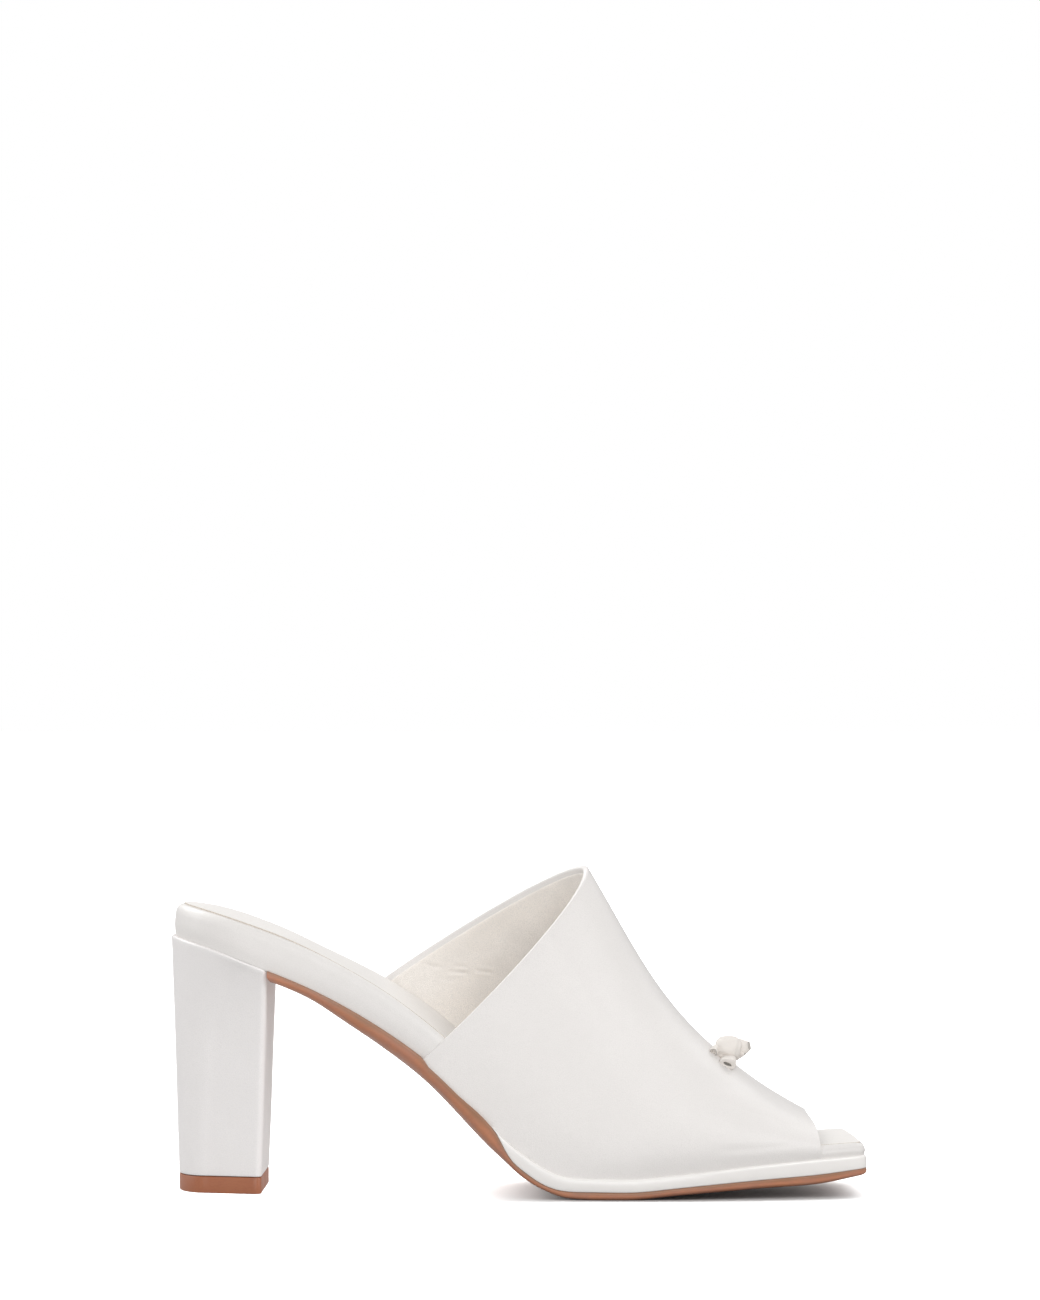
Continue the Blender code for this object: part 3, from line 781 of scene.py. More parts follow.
class Recipe:
    """Builds the nodes of one finish."""

    BLEND_SOCKETS: ClassVar[tuple[int, int, int]] = (0, 6, 7)   # share and two colours

    def __init__(self, name: str) -> None:
        """Start a material with its shader and the object's own coordinates.

        Args:
            name: the material's name.
        """
        self.material = bpy.data.materials.new(name)
        self.material.use_nodes = True
        self.tree = self.material.node_tree
        self.shader = self.tree.nodes["Principled BSDF"]
        self.place = self.add("ShaderNodeTexCoord").outputs["Object"]

    def add(self, kind: str, **settings: object) -> bpy.types.Node:
        """Add a node and set its options.

        Args:
            kind: the node's type.
            settings: its options by name.

        Returns:
            The new node.
        """
        node = self.tree.nodes.new(kind)
        for name, value in settings.items():
            setattr(node, name, value)
        return node

    def feed(self, node: bpy.types.Node, **inputs: Value) -> None:
        """Set or link a node's inputs, whose names have _ for a space.

        Args:
            node: the node to set up.
            inputs: a value or a socket for each input; _ and a number stands for an input's
                place.
        """
        for name, value in inputs.items():
            key = int(name[1:]) if name[1:].isdigit() else name.replace("_", " ")
            socket = node.inputs[key]
            if isinstance(value, bpy.types.NodeSocket):
                self.tree.links.new(value, socket)
            else:
                socket.default_value = value

    def stretched(self, *scale: float) -> bpy.types.NodeSocket:
        """Give the coordinates stretched.

        Args:
            scale: how much finer a pattern gets along x, y and z.

        Returns:
            The coordinates' socket.
        """
        node = self.add("ShaderNodeMapping")
        self.feed(node, Vector=self.place, Scale=scale)
        return node.outputs["Vector"]

    def noise(self, size: float, detail: float = 2.0, rough: float = 0.5,
              at: bpy.types.NodeSocket | None = None) -> bpy.types.NodeSocket:
        """Add clouds of a size in millimetres.

        Args:
            size: size of the largest clouds.
            detail: how many finer layers they have.
            rough: how strong those are.
            at: the coordinates; None is the object's own.

        Returns:
            The clouds' socket, from 0 to 1.
        """
        node = self.add("ShaderNodeTexNoise")
        self.feed(node, Vector=at or self.place, Scale=1.0 / (size * MM), Detail=detail,
                  Roughness=rough)
        return node.outputs["Fac"]

    def cells(self, size: float, at: bpy.types.NodeSocket) -> bpy.types.NodeSocket:
        """Add the distance to the edges of cells of a size in millimetres.

        Args:
            size: size of the cells.
            at: the coordinates.

        Returns:
            The distance's socket, 0 on the edges.
        """
        node = self.add("ShaderNodeTexVoronoi", feature="DISTANCE_TO_EDGE")
        self.feed(node, Vector=at, Scale=1.0 / (size * MM))
        return node.outputs["Distance"]

    def warped(self, size: float, amount: float) -> bpy.types.NodeSocket:
        """Shift the coordinates by clouds, both in millimetres.

        Args:
            size: size of the clouds.
            amount: how far they shift a place.

        Returns:
            The coordinates' socket.
        """
        clouds = self.add("ShaderNodeTexNoise")
        self.feed(clouds, Vector=self.place, Scale=1.0 / (size * MM), Detail=1.0)
        centred = self.add("ShaderNodeVectorMath", operation="SUBTRACT")
        self.feed(centred, _0=clouds.outputs["Color"], _1=(0.5, 0.5, 0.5))
        scaled = self.add("ShaderNodeVectorMath", operation="SCALE")
        self.feed(scaled, _0=centred.outputs[0], Scale=amount * MM)
        moved = self.add("ShaderNodeVectorMath", operation="ADD")
        self.feed(moved, _0=self.place, _1=scaled.outputs[0])
        return moved.outputs[0]

    def span(self, value: bpy.types.NodeSocket, low: float, high: float,
             to_low: float = 0.0, to_high: float = 1.0) -> bpy.types.NodeSocket:
        """Map a range of values onto another, clamped.

        Args:
            value: what is mapped.
            low: the value that gives to_low.
            high: the value that gives to_high.
            to_low: the result at low.
            to_high: the result at high.

        Returns:
            The result's socket.
        """
        node = self.add("ShaderNodeMapRange", interpolation_type="SMOOTHSTEP")
        names = dict(zip(("From_Min", "From_Max", "To_Min", "To_Max"),
                         (low, high, to_low, to_high)))
        self.feed(node, Value=value, **names)
        return node.outputs["Result"]

    def maths(self, operation: str, first: bpy.types.NodeSocket,
              second: bpy.types.NodeSocket | float) -> bpy.types.NodeSocket:
        """Combine two values.

        Args:
            operation: the name of what is done.
            first: the first value.
            second: the second value.

        Returns:
            The result's socket.
        """
        node = self.add("ShaderNodeMath", operation=operation)
        self.feed(node, _0=first, _1=second)
        return node.outputs[0]

    def mix(self, share: bpy.types.NodeSocket, first: Colour,
            second: Colour) -> bpy.types.NodeSocket:
        """Mix two colours.

        Args:
            share: 0 for the first colour, 1 for the second.
            first: the first colour.
            second: the second colour.

        Returns:
            The mixed colour's socket.
        """
        node = self.add("ShaderNodeMix", data_type="RGBA")
        values = zip(self.BLEND_SOCKETS, (share, first, second))
        self.feed(node, **{f"_{socket}": value for socket, value in values})
        return node.outputs[2]

    def bump(self, height: bpy.types.NodeSocket, depth: float,
             normal: bpy.types.NodeSocket | None = None) -> bpy.types.NodeSocket:
        """Turn a height into a surface slope, depth in millimetres.

        Args:
            height: the height, from 0 to 1.
            depth: how deep it goes.
            normal: the slope that it is laid on; None is the bare surface.

        Returns:
            The slope's socket.
        """
        node = self.add("ShaderNodeBump")
        self.feed(node, Height=height, Distance=depth * MM, Strength=1.0)
        if normal is not None:
            self.feed(node, Normal=normal)
        return node.outputs["Normal"]

    def finish(self, **inputs: Value) -> bpy.types.Material:
        """Set or link the shader's inputs and give the material."""
        self.feed(self.shader, **inputs)
        return self.material


def rgba(colour: Rgb, factor: float = 1.0) -> tuple[float, float, float, float]:
    """Give a colour with its fourth number, darkened or lightened."""
    return (*(part * factor for part in colour), 1.0)


@dataclass(frozen=True)
class Leather:
    """Smooth finished leather with a fine grain."""

    name: str
    colour: Rgb
    roughness: float = 0.40
    grain: float = 0.55          # size of the grain's cells
    grain_depth: float = 0.028
    grain_shade: float = 0.955   # how dark the lines between them are
    pore: float = 0.22           # size of the pores
    unevenness: float = 3.4      # size of the soft unevenness
    uneven_depth: float = 0.05
    patch: float = 14.0          # size of the colour's patches
    patch_range: float = 0.03    # how much the colour varies
    coat: float = 0.12
    coat_roughness: float = 0.32

    def make(self) -> bpy.types.Material:
        """Build the finish.

        Returns:
            The new material.
        """
        recipe = Recipe(self.name)
        warped = recipe.warped(1.1, 0.35)
        cells = recipe.span(recipe.cells(self.grain, warped), 0.0, 0.16)
        pores = recipe.span(recipe.noise(self.pore, 2.0), 0.30, 0.52)
        patches = recipe.noise(self.patch, 3.0)
        soft = recipe.noise(self.unevenness, 2.0)
        colour = recipe.mix(patches, rgba(self.colour, 1 - self.patch_range),
                            rgba(self.colour, 1 + self.patch_range))
        shaded = recipe.mix(cells, rgba(self.colour, self.grain_shade), colour)
        height = recipe.maths("ADD", recipe.maths("MULTIPLY", cells, 0.7),
                              recipe.maths("MULTIPLY", pores, 0.3))
        normal = recipe.bump(height, self.grain_depth, recipe.bump(soft, self.uneven_depth))
        rough = recipe.span(soft, 0.3, 0.7, self.roughness - 0.04, self.roughness + 0.05)
        return recipe.finish(Base_Color=shaded, Roughness=rough, Normal=normal, IOR=1.46,
                             Coat_Weight=self.coat, Coat_Roughness=self.coat_roughness)


@dataclass(frozen=True)
class Lining:
    """Unfinished lining leather: open pores, matt, warmer than the outside."""

    name: str
    colour: Rgb
    pore: float = 0.42           # size of the pores
    fibre: float = 0.5           # thickness of the fibres
    patch: float = 9.0           # size of the colour's patches
    rubbed: float = 26.0         # size of the places that wear has warmed
    warmth: Rgb = (1.06, 1.0, 0.93)
    nap_depth: float = 0.05
    unevenness: float = 4.0      # size of the soft unevenness
    uneven_depth: float = 0.12

    def make(self) -> bpy.types.Material:
        """Build the finish.

        Returns:
            The new material.
        """
        recipe = Recipe(self.name)
        pores = recipe.span(recipe.cells(self.pore, recipe.warped(0.9, 0.4)), 0.0, 0.22)
        fibres = recipe.noise(self.fibre, 3.0, 0.6, recipe.stretched(0.45, 1.0, 1.6))
        patches = recipe.noise(self.patch, 3.0, 0.6)
        rubbed = recipe.noise(self.rubbed, 1.0)
        warm = tuple(part * share for part, share in zip(self.colour, self.warmth))
        colour = recipe.mix(recipe.span(patches, 0.25, 0.75), rgba(self.colour, 0.94),
                            rgba(self.colour, 1.05))
        colour = recipe.mix(recipe.span(rubbed, 0.3, 0.7, 0.0, 0.35), colour, rgba(warm))
        colour = recipe.mix(pores, rgba(self.colour, 0.9), colour)
        height = recipe.maths("ADD", recipe.maths("MULTIPLY", pores, 0.5),
                              recipe.maths("MULTIPLY", fibres, 0.8))
        broad = recipe.bump(recipe.noise(self.unevenness, 2.0), self.uneven_depth)
        normal = recipe.bump(height, self.nap_depth, broad)
        return recipe.finish(Base_Color=colour, Roughness=0.66, Normal=normal, IOR=1.42,
                             Sheen_Weight=0.08, Sheen_Roughness=0.5)


@dataclass(frozen=True)
class GlossStrip:
    """The strip's smooth covering, glossier than the leather."""

    name: str
    colour: Rgb
    patch: float = 8.0           # size of the colour's patches
    uneven_depth: float = 0.04
    drawn: float = 0.9           # thickness of the faint lines drawn along it
    drawn_depth: float = 0.0012

    def make(self) -> bpy.types.Material:
        """Build the finish.

        Returns:
            The new material.
        """
        recipe = Recipe(self.name)
        patches = recipe.noise(self.patch, 2.0)
        drawn = recipe.noise(self.drawn, 1.0, 0.4, recipe.stretched(0.4, 0.4, 1.0))
        colour = recipe.mix(patches, rgba(self.colour, 0.98), rgba(self.colour, 1.02))
        rough = recipe.span(drawn, 0.3, 0.7, 0.23, 0.27)
        normal = recipe.bump(drawn, self.drawn_depth, recipe.bump(patches, self.uneven_depth))
        return recipe.finish(Base_Color=colour, Roughness=rough, Normal=normal,
                             Coat_Weight=0.3, Coat_Roughness=0.12, IOR=1.5)


@dataclass(frozen=True)
class SoleLeather:
    """Dyed and burnished sole leather, or a tan top piece; the sole's side carries painted
    shade along its upper edge and a painted highlight along its lower edge.
    """

    name: str
    colour: Rgb
    warm: Rgb
    roughness: float = 0.42
    inked: Rgb | None = None     # colour of the painted shade along the side's upper edge
    rubbed: Rgb | None = None    # and of the painted highlight along its lower edge
    fibre: float = 0.35          # thickness of the fibres
    pore: float = 0.6            # size of the pores
    patch: float = 7.0           # size of the colour's patches
    wave: float = 11.0           # length of the waves along the edges of the painted shade and highlight
    grain_depth: float = 0.03

    def make(self) -> bpy.types.Material:
        """Build the finish.

        Returns:
            The new material.
        """
        recipe = Recipe(self.name)
        fibres = recipe.noise(self.fibre, 3.0, 0.6, recipe.stretched(0.2, 0.6, 1.0))
        patches = recipe.noise(self.patch, 3.0, 0.6)
        pores = recipe.span(recipe.cells(self.pore, recipe.warped(1.0, 0.5)), 0.0, 0.12)
        colour = recipe.mix(recipe.span(patches, 0.3, 0.7), rgba(self.colour), rgba(self.warm))
        colour = recipe.mix(recipe.span(fibres, 0.3, 0.75, 0.0, 0.3), colour,
                            rgba(self.colour, 0.78))
        # painted shade darkens the side towards its upper edge, and a painted highlight
        # lightens it towards its lower edge
        if self.inked and self.rubbed:
            wavy = recipe.span(recipe.noise(self.wave, 2.0), 0.2, 0.8, -0.12, 0.12)
            rise = recipe.maths("ADD", wavy, recipe.add(
                "ShaderNodeAttribute", attribute_name="rise").outputs["Fac"])
            colour = recipe.mix(recipe.span(rise, 0.0, 0.45, 0.55, 0.0), colour,
                                rgba(self.rubbed))
            colour = recipe.mix(recipe.span(rise, 0.52, 0.98, 0.0, 0.85), colour,
                                rgba(self.inked))
        height = recipe.maths("ADD", fibres, recipe.maths("MULTIPLY", pores, 0.3))
        rough = recipe.span(patches, 0.3, 0.7, self.roughness - 0.06, self.roughness + 0.06)
        return recipe.finish(Base_Color=colour, Roughness=rough, IOR=1.48,
                             Normal=recipe.bump(height, self.grain_depth),
                             Coat_Weight=0.2, Coat_Roughness=0.25)


@dataclass(frozen=True)
class RawEdge:
    """A finish darker than the leather's face, for the cut ends of leather strips, the sock
    lining's rim and the knot loop's hole.
    """

    name: str
    colour: Rgb
    fibre: float = 0.25          # thickness of the fibres
    fibre_depth: float = 0.06

    def make(self) -> bpy.types.Material:
        """Build the finish.

        Returns:
            The new material.
        """
        recipe = Recipe(self.name)
        fibres = recipe.noise(self.fibre, 3.0, 0.7)
        colour = recipe.mix(recipe.span(fibres, 0.3, 0.7), rgba(self.colour, 0.7),
                            rgba(self.colour, 1.3))
        return recipe.finish(Base_Color=colour, Roughness=0.8,
                             Normal=recipe.bump(fibres, self.fibre_depth), IOR=1.4)


class Finish(Enum):
    """The sandal's finishes."""

    BAND = Leather("band_leather", (0.765, 0.738, 0.718), roughness=0.40)
    BED = Leather("footbed_leather", (0.75, 0.724, 0.703), roughness=0.42)
    SOCK = Leather("sock_leather", (0.735, 0.71, 0.685), roughness=0.46, grain=0.5,
                   grain_depth=0.03)
    # darker than the sock: the sock's cut edge, and painted shade for the groove along it
    SOCK_EDGE = RawEdge("sock_edge", (0.58, 0.53, 0.47))
    HEEL = Leather("heel_leather", (0.80, 0.775, 0.765), roughness=0.40)
    KNOT = Leather("knot_leather", (0.79, 0.745, 0.70), roughness=0.48, grain=0.4)
    LINING = Lining("lining_leather", (0.87, 0.828, 0.78))
    STRIP = GlossStrip("strip_gloss", (0.84, 0.815, 0.79))
    # the outsole's side takes painted shade at its upper edge and a painted highlight at its
    # lower edge
    SOLE = SoleLeather("sole_leather", (0.43, 0.185, 0.115), (0.50, 0.20, 0.10),
                       inked=(0.27, 0.135, 0.07), rubbed=(0.50, 0.27, 0.20))
    TIP = SoleLeather("tip_rubber", (0.33, 0.105, 0.045), (0.35, 0.12, 0.052), 0.5)
    RAW = RawEdge("raw_edge", (0.46, 0.435, 0.40))


class Wardrobe:
    """Makes each finish once and puts it on pieces."""

    def __init__(self) -> None:
        """Start with no finish made."""
        self.made: dict[Finish, bpy.types.Material] = {}

    def get(self, finish: Finish) -> bpy.types.Material:
        """Give a finish's material.

        Args:
            finish: the finish to look up.

        Returns:
            Its material, made the first time that it is asked for.
        """
        if finish not in self.made:
            self.made[finish] = finish.value.make()
        return self.made[finish]

    def dress(self, piece: bpy.types.Object, finish: Finish) -> None:
        """Put one finish all over a piece."""
        piece.data.materials.clear()
        piece.data.materials.append(self.get(finish))


# ------------------------------------------------------------------ sub-assemblies
@dataclass
class Workshop:
    """What every sub-assembly is made with."""

    bench: Bench
    last: Last
    wardrobe: Wardrobe
    made: list[bpy.types.Object] = field(default_factory=list)

    def hand_over(self, piece: bpy.types.Object, finish: Finish, slot: str,
                  *nodes: str) -> None:
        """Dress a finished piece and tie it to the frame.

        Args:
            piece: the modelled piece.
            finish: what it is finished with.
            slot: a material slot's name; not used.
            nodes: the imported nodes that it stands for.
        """
        if not piece.data.materials:
            self.wardrobe.dress(piece, finish)
        for label in MARKS:
            mark = piece.data.attributes.get(label)
            if mark is not None:
                piece.data.attributes.remove(mark)
        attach(piece, "root")
        if nodes:
            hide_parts(*nodes)
        self.made.append(piece)
        piece.data.calc_loop_triangles()
        LOG.info("%s: %d triangles", piece.name, len(piece.data.loop_triangles))


@dataclass
class Band:
    """The wide leather band over the foot, with its rolled edges and lining."""

    shop: Workshop
    wall: float = 2.0
    inset_waist: float = 0.6     # how far the feet stand in from the sole's outline
    inset_ball: float = 1.2
    waist_end: float = 85.0      # x where the inset starts to change
    ball_start: float = 110.0
    bulge: float = 1.9           # how far the walls swell out over their feet
    bulge_top: float = 0.7
    tilt_power: float = 0.6
    lean_lateral: float = 1.3
    lean_medial: float = 1.35
    sink: float = 0.9            # how far the feet go down behind the strip's edge
    sections: int = 131
    around: int = 181
    edge_rounding: float = 0.6
    fold: float = 2.2            # width of the leather turned in at the edges
    lining_wall: float = 0.3
    lining_gap: float = 0.12     # how much the lining stands out of the inner face
    lining_rounding: float = 0.2
    lining_crowding: float = 3.5   # how much finer it is laid where it is creased
    creased_turn: tuple[float, float] = (0.86, 0.07)   # place and spread of that, round
    creased_row: tuple[float, float] = (0.1, 0.08)     # the band and along it
    softening: float = 0.28      # how far the table's bends are spread, in rows
    creases: tuple[Crease, ...] = (
        Crease((176.0, 15.5), (203.0, 17.6), False, 0.16, 1.1, 0.3),
        Crease((184.0, 18.6), (205.0, 20.2), False, 0.10, 1.0, 0.2),
        Crease((168.0, 40.0), (186.0, 33.5), False, 0.12, 2.2, 0.8),
    )
    lining_creases: tuple[Crease, ...] = (
        Crease((76.0, 72.6), (87.0, 70.4), True, 0.20, 0.60, 0.2),
        Crease((75.5, 70.6), (84.0, 69.4), True, 0.13, 0.55, 0.1),
        Crease((88.5, 69.3), (95.5, 68.5), True, 0.20, 0.60, -0.2),
        Crease((90.0, 71.2), (95.0, 70.9), True, 0.12, 0.55, 0.0),
        Crease((97.0, 69.9), (103.5, 69.1), True, 0.17, 0.60, 0.1),
        Crease((85.0, 66.9), (90.5, 66.3), True, 0.10, 0.55, 0.0),
        Crease((95.0, 75.5), (108.0, 77.5), True, 0.07, 1.3, 0.4),
    )
    table: dict[str, Curve] = field(init=False)
    LAST_ROW: ClassVar[float] = float(BAND[-1].row)
    SLOPE_STEP: ClassVar[float] = 0.004   # step over which the outward direction is read
    EDGE_STEP: ClassVar[float] = 0.02     # and the distance to an open edge

    def __post_init__(self) -> None:
        """Read the band's table."""
        self.table = read_table(BAND, "row", self.softening)

    def surface(self, row: Array, around: Array) -> Array:
        """Give points of the band's outer face.

        Args:
            row: place along the band, 0 at the collar and 8 at the toe edge.
            around: 0 at the outer foot, 1 at the inner foot.

        Returns:
            The points, three numbers each.
        """
        last, read = self.shop.last, {k: curve(row) for k, curve in self.table.items()}
        share = ease((read["lateral"] - self.waist_end) / (self.ball_start - self.waist_end))
        inset = self.inset_waist + (self.inset_ball - self.inset_waist) * share
        feet = []
        for side, sign in (("lateral", -1.0), ("medial", 1.0)):
            x = read[side]
            y = sign * (last.half_width(x, side) - inset)
            feet.append(np.stack([x, y, last.seat(x, y) - last.lap(x, y) - self.sink], axis=-1))
        middle, half = (feet[0] + feet[1]) / 2, (feet[1] - feet[0]) / 2
        crown = np.stack([read["ridge"], read["side"], read["height"]], axis=-1)
        angle = math.pi * (1.0 - around)
        power = 2.0 / read["square"]
        across = np.sign(np.cos(angle)) * np.abs(np.cos(angle)) ** power
        up = np.abs(np.sin(angle)) ** power
        lean = np.where(across > 0.0, self.lean_medial, self.lean_lateral)
        tilt = np.sign(across) * np.maximum(0.0, 1.0 - up ** lean) ** self.tilt_power
        swell = self.bulge * np.sin(math.pi * np.minimum(up / self.bulge_top, 1.0))
        x = middle[..., 0] + half[..., 0] * tilt
        x += (crown[..., 0] - middle[..., 0]) * up ** read["hook"]
        y = middle[..., 1] + half[..., 1] * across + np.sign(across) * swell
        y += (crown[..., 1] - middle[..., 1]) * up
        z = middle[..., 2] + half[..., 2] * tilt + (crown[..., 2] - middle[..., 2]) * up
        return np.stack([x, y, z], axis=-1)

    def normals(self, row: Array, around: Array) -> Array:
        """Give the outward direction at points of the outer face.

        Args:
            row: place along the band, as for surface.
            around: place round it.

        Returns:
            One direction of length 1 for each point.
        """
        step = self.SLOPE_STEP
        ahead = self.surface(np.minimum(row + step, self.LAST_ROW), around)
        behind = self.surface(np.maximum(row - step, 0.0), around)
        after = self.surface(row, np.minimum(around + step, 1.0))
        before = self.surface(row, np.maximum(around - step, 0.0))
        normal = np.cross(ahead - behind, after - before)
        normal /= np.maximum(np.linalg.norm(normal, axis=-1, keepdims=True), TINY)
        return normal

    def lattice(self, trim: float = 0.0, crowding: float = 0.0) -> tuple[Array, Array]:
        """Lay out rows and turns over the band, trimmed at the two open edges.

        Args:
            trim: distance left out along each open edge.
            crowding: how much closer they lie round the collar's inner side.

        Returns:
            The row and the turn of each point.
        """
        turns = crowded(self.around, *self.creased_turn, crowding)
        ends, step = (0.0, self.LAST_ROW), self.EDGE_STEP
        gaps = []
        for edge, inner in ((ends[0], ends[0] + step), (ends[1], ends[1] - step)):
            gap = self.surface(np.full(self.around, inner), turns)
            gap = gap - self.surface(np.full(self.around, edge), turns)
            gaps.append(trim * step / np.linalg.norm(gap, axis=-1))
        t = crowded(self.sections, *self.creased_row, crowding)[:, None]
        rows = gaps[0] * (1 - t) + (ends[1] - gaps[1]) * t
        return rows, np.broadcast_to(turns, rows.shape)

    def leather(self) -> None:
        """Make the outer leather: a laid grid with its wall and rolled edges."""
        bench = self.shop.bench
        row, turn = self.lattice()
        points, normals = self.surface(row, turn), self.normals(row, turn)
        press = sum(crease.press(points) for crease in self.creases)
        piece = bench.grid("band_leather", points - normals * press[..., None])
        bench.solidify(piece, self.wall)
        bench.round_edges(piece, self.edge_rounding, segments=4)
        bench.smooth(piece)
        self.shop.hand_over(piece, Finish.BAND, "upper", "upper")

    def lining(self) -> None:
        """Make the lining: a thinner sheet inside, short of both open edges."""
        bench = self.shop.bench
        row, turn = self.lattice(self.fold, self.lining_crowding)
        points, normals = self.surface(row, turn), self.normals(row, turn)
        press = sum(crease.press(points) for crease in self.lining_creases)
        depth = self.wall - self.lining_gap - press
        piece = bench.grid("band_lining", points - normals * depth[..., None])
        bench.solidify(piece, self.lining_wall)
        bench.round_edges(piece, self.lining_rounding, segments=2)
        bench.smooth(piece)
        self.shop.hand_over(piece, Finish.LINING, "upper")

    def build(self) -> None:
        """Make the band's pieces."""
        self.leather()
        self.lining()


@dataclass
class Footbed:
    """The padded insole: a wrapped board and the sock lining on it."""

    shop: Workshop
    dish: float = 0.7            # hollow of the heel seat
    dish_in: Fade = Fade(0.0, 22.0)   # where it comes in and goes out, along x
    dish_out: Fade = Fade(70.0, -50.0)
    dish_full: float = 8.0       # x behind which it keeps the width that it has there
    sink: float = 0.4            # how far the board beds into what it stands on
    turned_under: float = 0.4    # rounding of its lower edge
    turned_height: float = 0.9
    shoulder_width: float = 3.2  # rounding of its upper edge
    shoulder_tight: float = 1.1  # the same at the toe and against the lining
    nose: float = 2.6            # and over the toe's end
    lined_back: Fade = Fade(46.0, 14.0)   # where the lining lies against it, along x
    lined_front: Fade = Fade(208.0, -10.0)
    lined_side: Fade = Fade(0.0, 12.0)   # and along y
    toe: Fade = Fade(196.0, 12.0)        # where the toe starts, along x
    shoulder_height: float = 4.3
    bulge: float = 0.3           # swelling of its sides
    sock_back: float = 0.5       # how far the sock lining stands up, at the heel
    sock_front: float = 0.14
    sock_sinks: Fade = Fade(34.0, 22.0)   # where it sinks into the padding, along x
    sock_depth: float = 0.6      # how far it reaches down into the padding
    sock_edge: float = 0.05      # rounding of its lower edge
    sock_shoulder: float = 0.15  # and of its upper edge, with its height
    sock_shoulder_height: float = 0.12
    softening: float = 1.5       # how far the bends of its plan are spread

    def top(self, x: Array, y: Array) -> Array:
        """Height of the padded top.

        Args:
            x: places along the sole.
            y: places across it.

        Returns:
            The height at each place.
        """
        last = self.shop.last
        half = last.half_width(np.maximum(x, self.dish_full), "medial")
        across = np.clip(y / half, -1.0, 1.0)
        hollow = self.dish * (1 - across ** 2) ** 2 * self.dish_out(x) * self.dish_in(x)
        return last.bed_top(x, y) - hollow

    def shoulder(self, plan: Array) -> Array:
        """Width of the upper edge's rounding: tight at the toe and against the lining.

        Args:
            plan: plan points of the edge.

        Returns:
            The width at each point.
        """
        x, y = plan[:, 0], plan[:, 1]
        lined = self.lined_back(x) * self.lined_front(x) * self.lined_side(y)
        share = np.maximum(self.toe(x), lined)
        side = self.shoulder_width + (self.shoulder_tight - self.shoulder_width) * share
        return side + (self.nose - side) * self.shop.last.at_toe(x, y)

    def sock_wall(self, x: Array) -> Array:
        """How far the sock lining stands up: it sinks into the padding past the heel."""
        return self.sock_back + (self.sock_front - self.sock_back) * self.sock_sinks(x)

    def wrap(self) -> None:
        """Make the board with its leather wrap."""
        last = self.shop.last
        insets = read_table(FOOTBED_INSETS, "x", self.softening)
        rim = Rim(even(self.turned_under), even(self.turned_height), self.shoulder,
                  self.shoulder_height, bulge=self.bulge, over_steps=9)
        plate = Plate(last.cross_lines(None), Insets(insets),
                      lambda x, y: last.seat(x, y) - self.sink, self.top, rim)
        piece = plate.build(self.shop.bench, "footbed_wrap")
        self.shop.bench.smooth(piece, SOFT)
        self.shop.hand_over(piece, Finish.BED, "footbed", "footbed")

    def sock(self) -> None:
        """Make the thin sock lining that covers the board's middle."""
        last = self.shop.last
        insets = read_table(SOCK_INSETS, "x", self.softening)
        edge = even(self.sock_edge)
        rim = Rim(edge, edge, even(self.sock_shoulder), self.sock_shoulder_height,
                  under_steps=1, over_steps=3, side_steps=1)
        plate = Plate(last.cross_lines(None), Insets(insets),
                      lambda x, y: self.top(x, y) - self.sock_depth,
                      lambda x, y: self.top(x, y) + self.sock_wall(x), rim)
        piece = plate.build(self.shop.bench, "sock_lining")
        self.shop.bench.smooth(piece, SOFT)
        self.shop.wardrobe.dress(piece, Finish.SOCK)
        # the rim takes the darker edge colour: the cut edge, and painted shade for the groove
        # along it
        piece.data.materials.append(self.shop.wardrobe.get(Finish.SOCK_EDGE))
        for face in plate.rim_faces(piece):
            face.material_index = 1
        self.shop.hand_over(piece, Finish.SOCK, "footbed")

    def build(self) -> None:
        """Make the footbed's pieces."""
        self.wrap()
        self.sock()


def even(size: float) -> Callable[[Array], Array]:
    """Make a reader that gives one size at all plan points."""
    return lambda plan: np.full(len(plan), size)


@dataclass(frozen=True)
class Insets:
    """A reader of insets at plan points, from the two sides' curves."""

    curves: dict[str, Curve]
    CHANGE: ClassVar[float] = 16.0   # width over which one side's give way to the other's

    def __call__(self, plan: Array) -> Array:
        """Read the inset at each plan point."""
        x, share = plan[:, 0], ease(0.5 + plan[:, 1] / self.CHANGE)
        return self.curves["lateral"](x) * (1 - share) + self.curves["medial"](x) * share


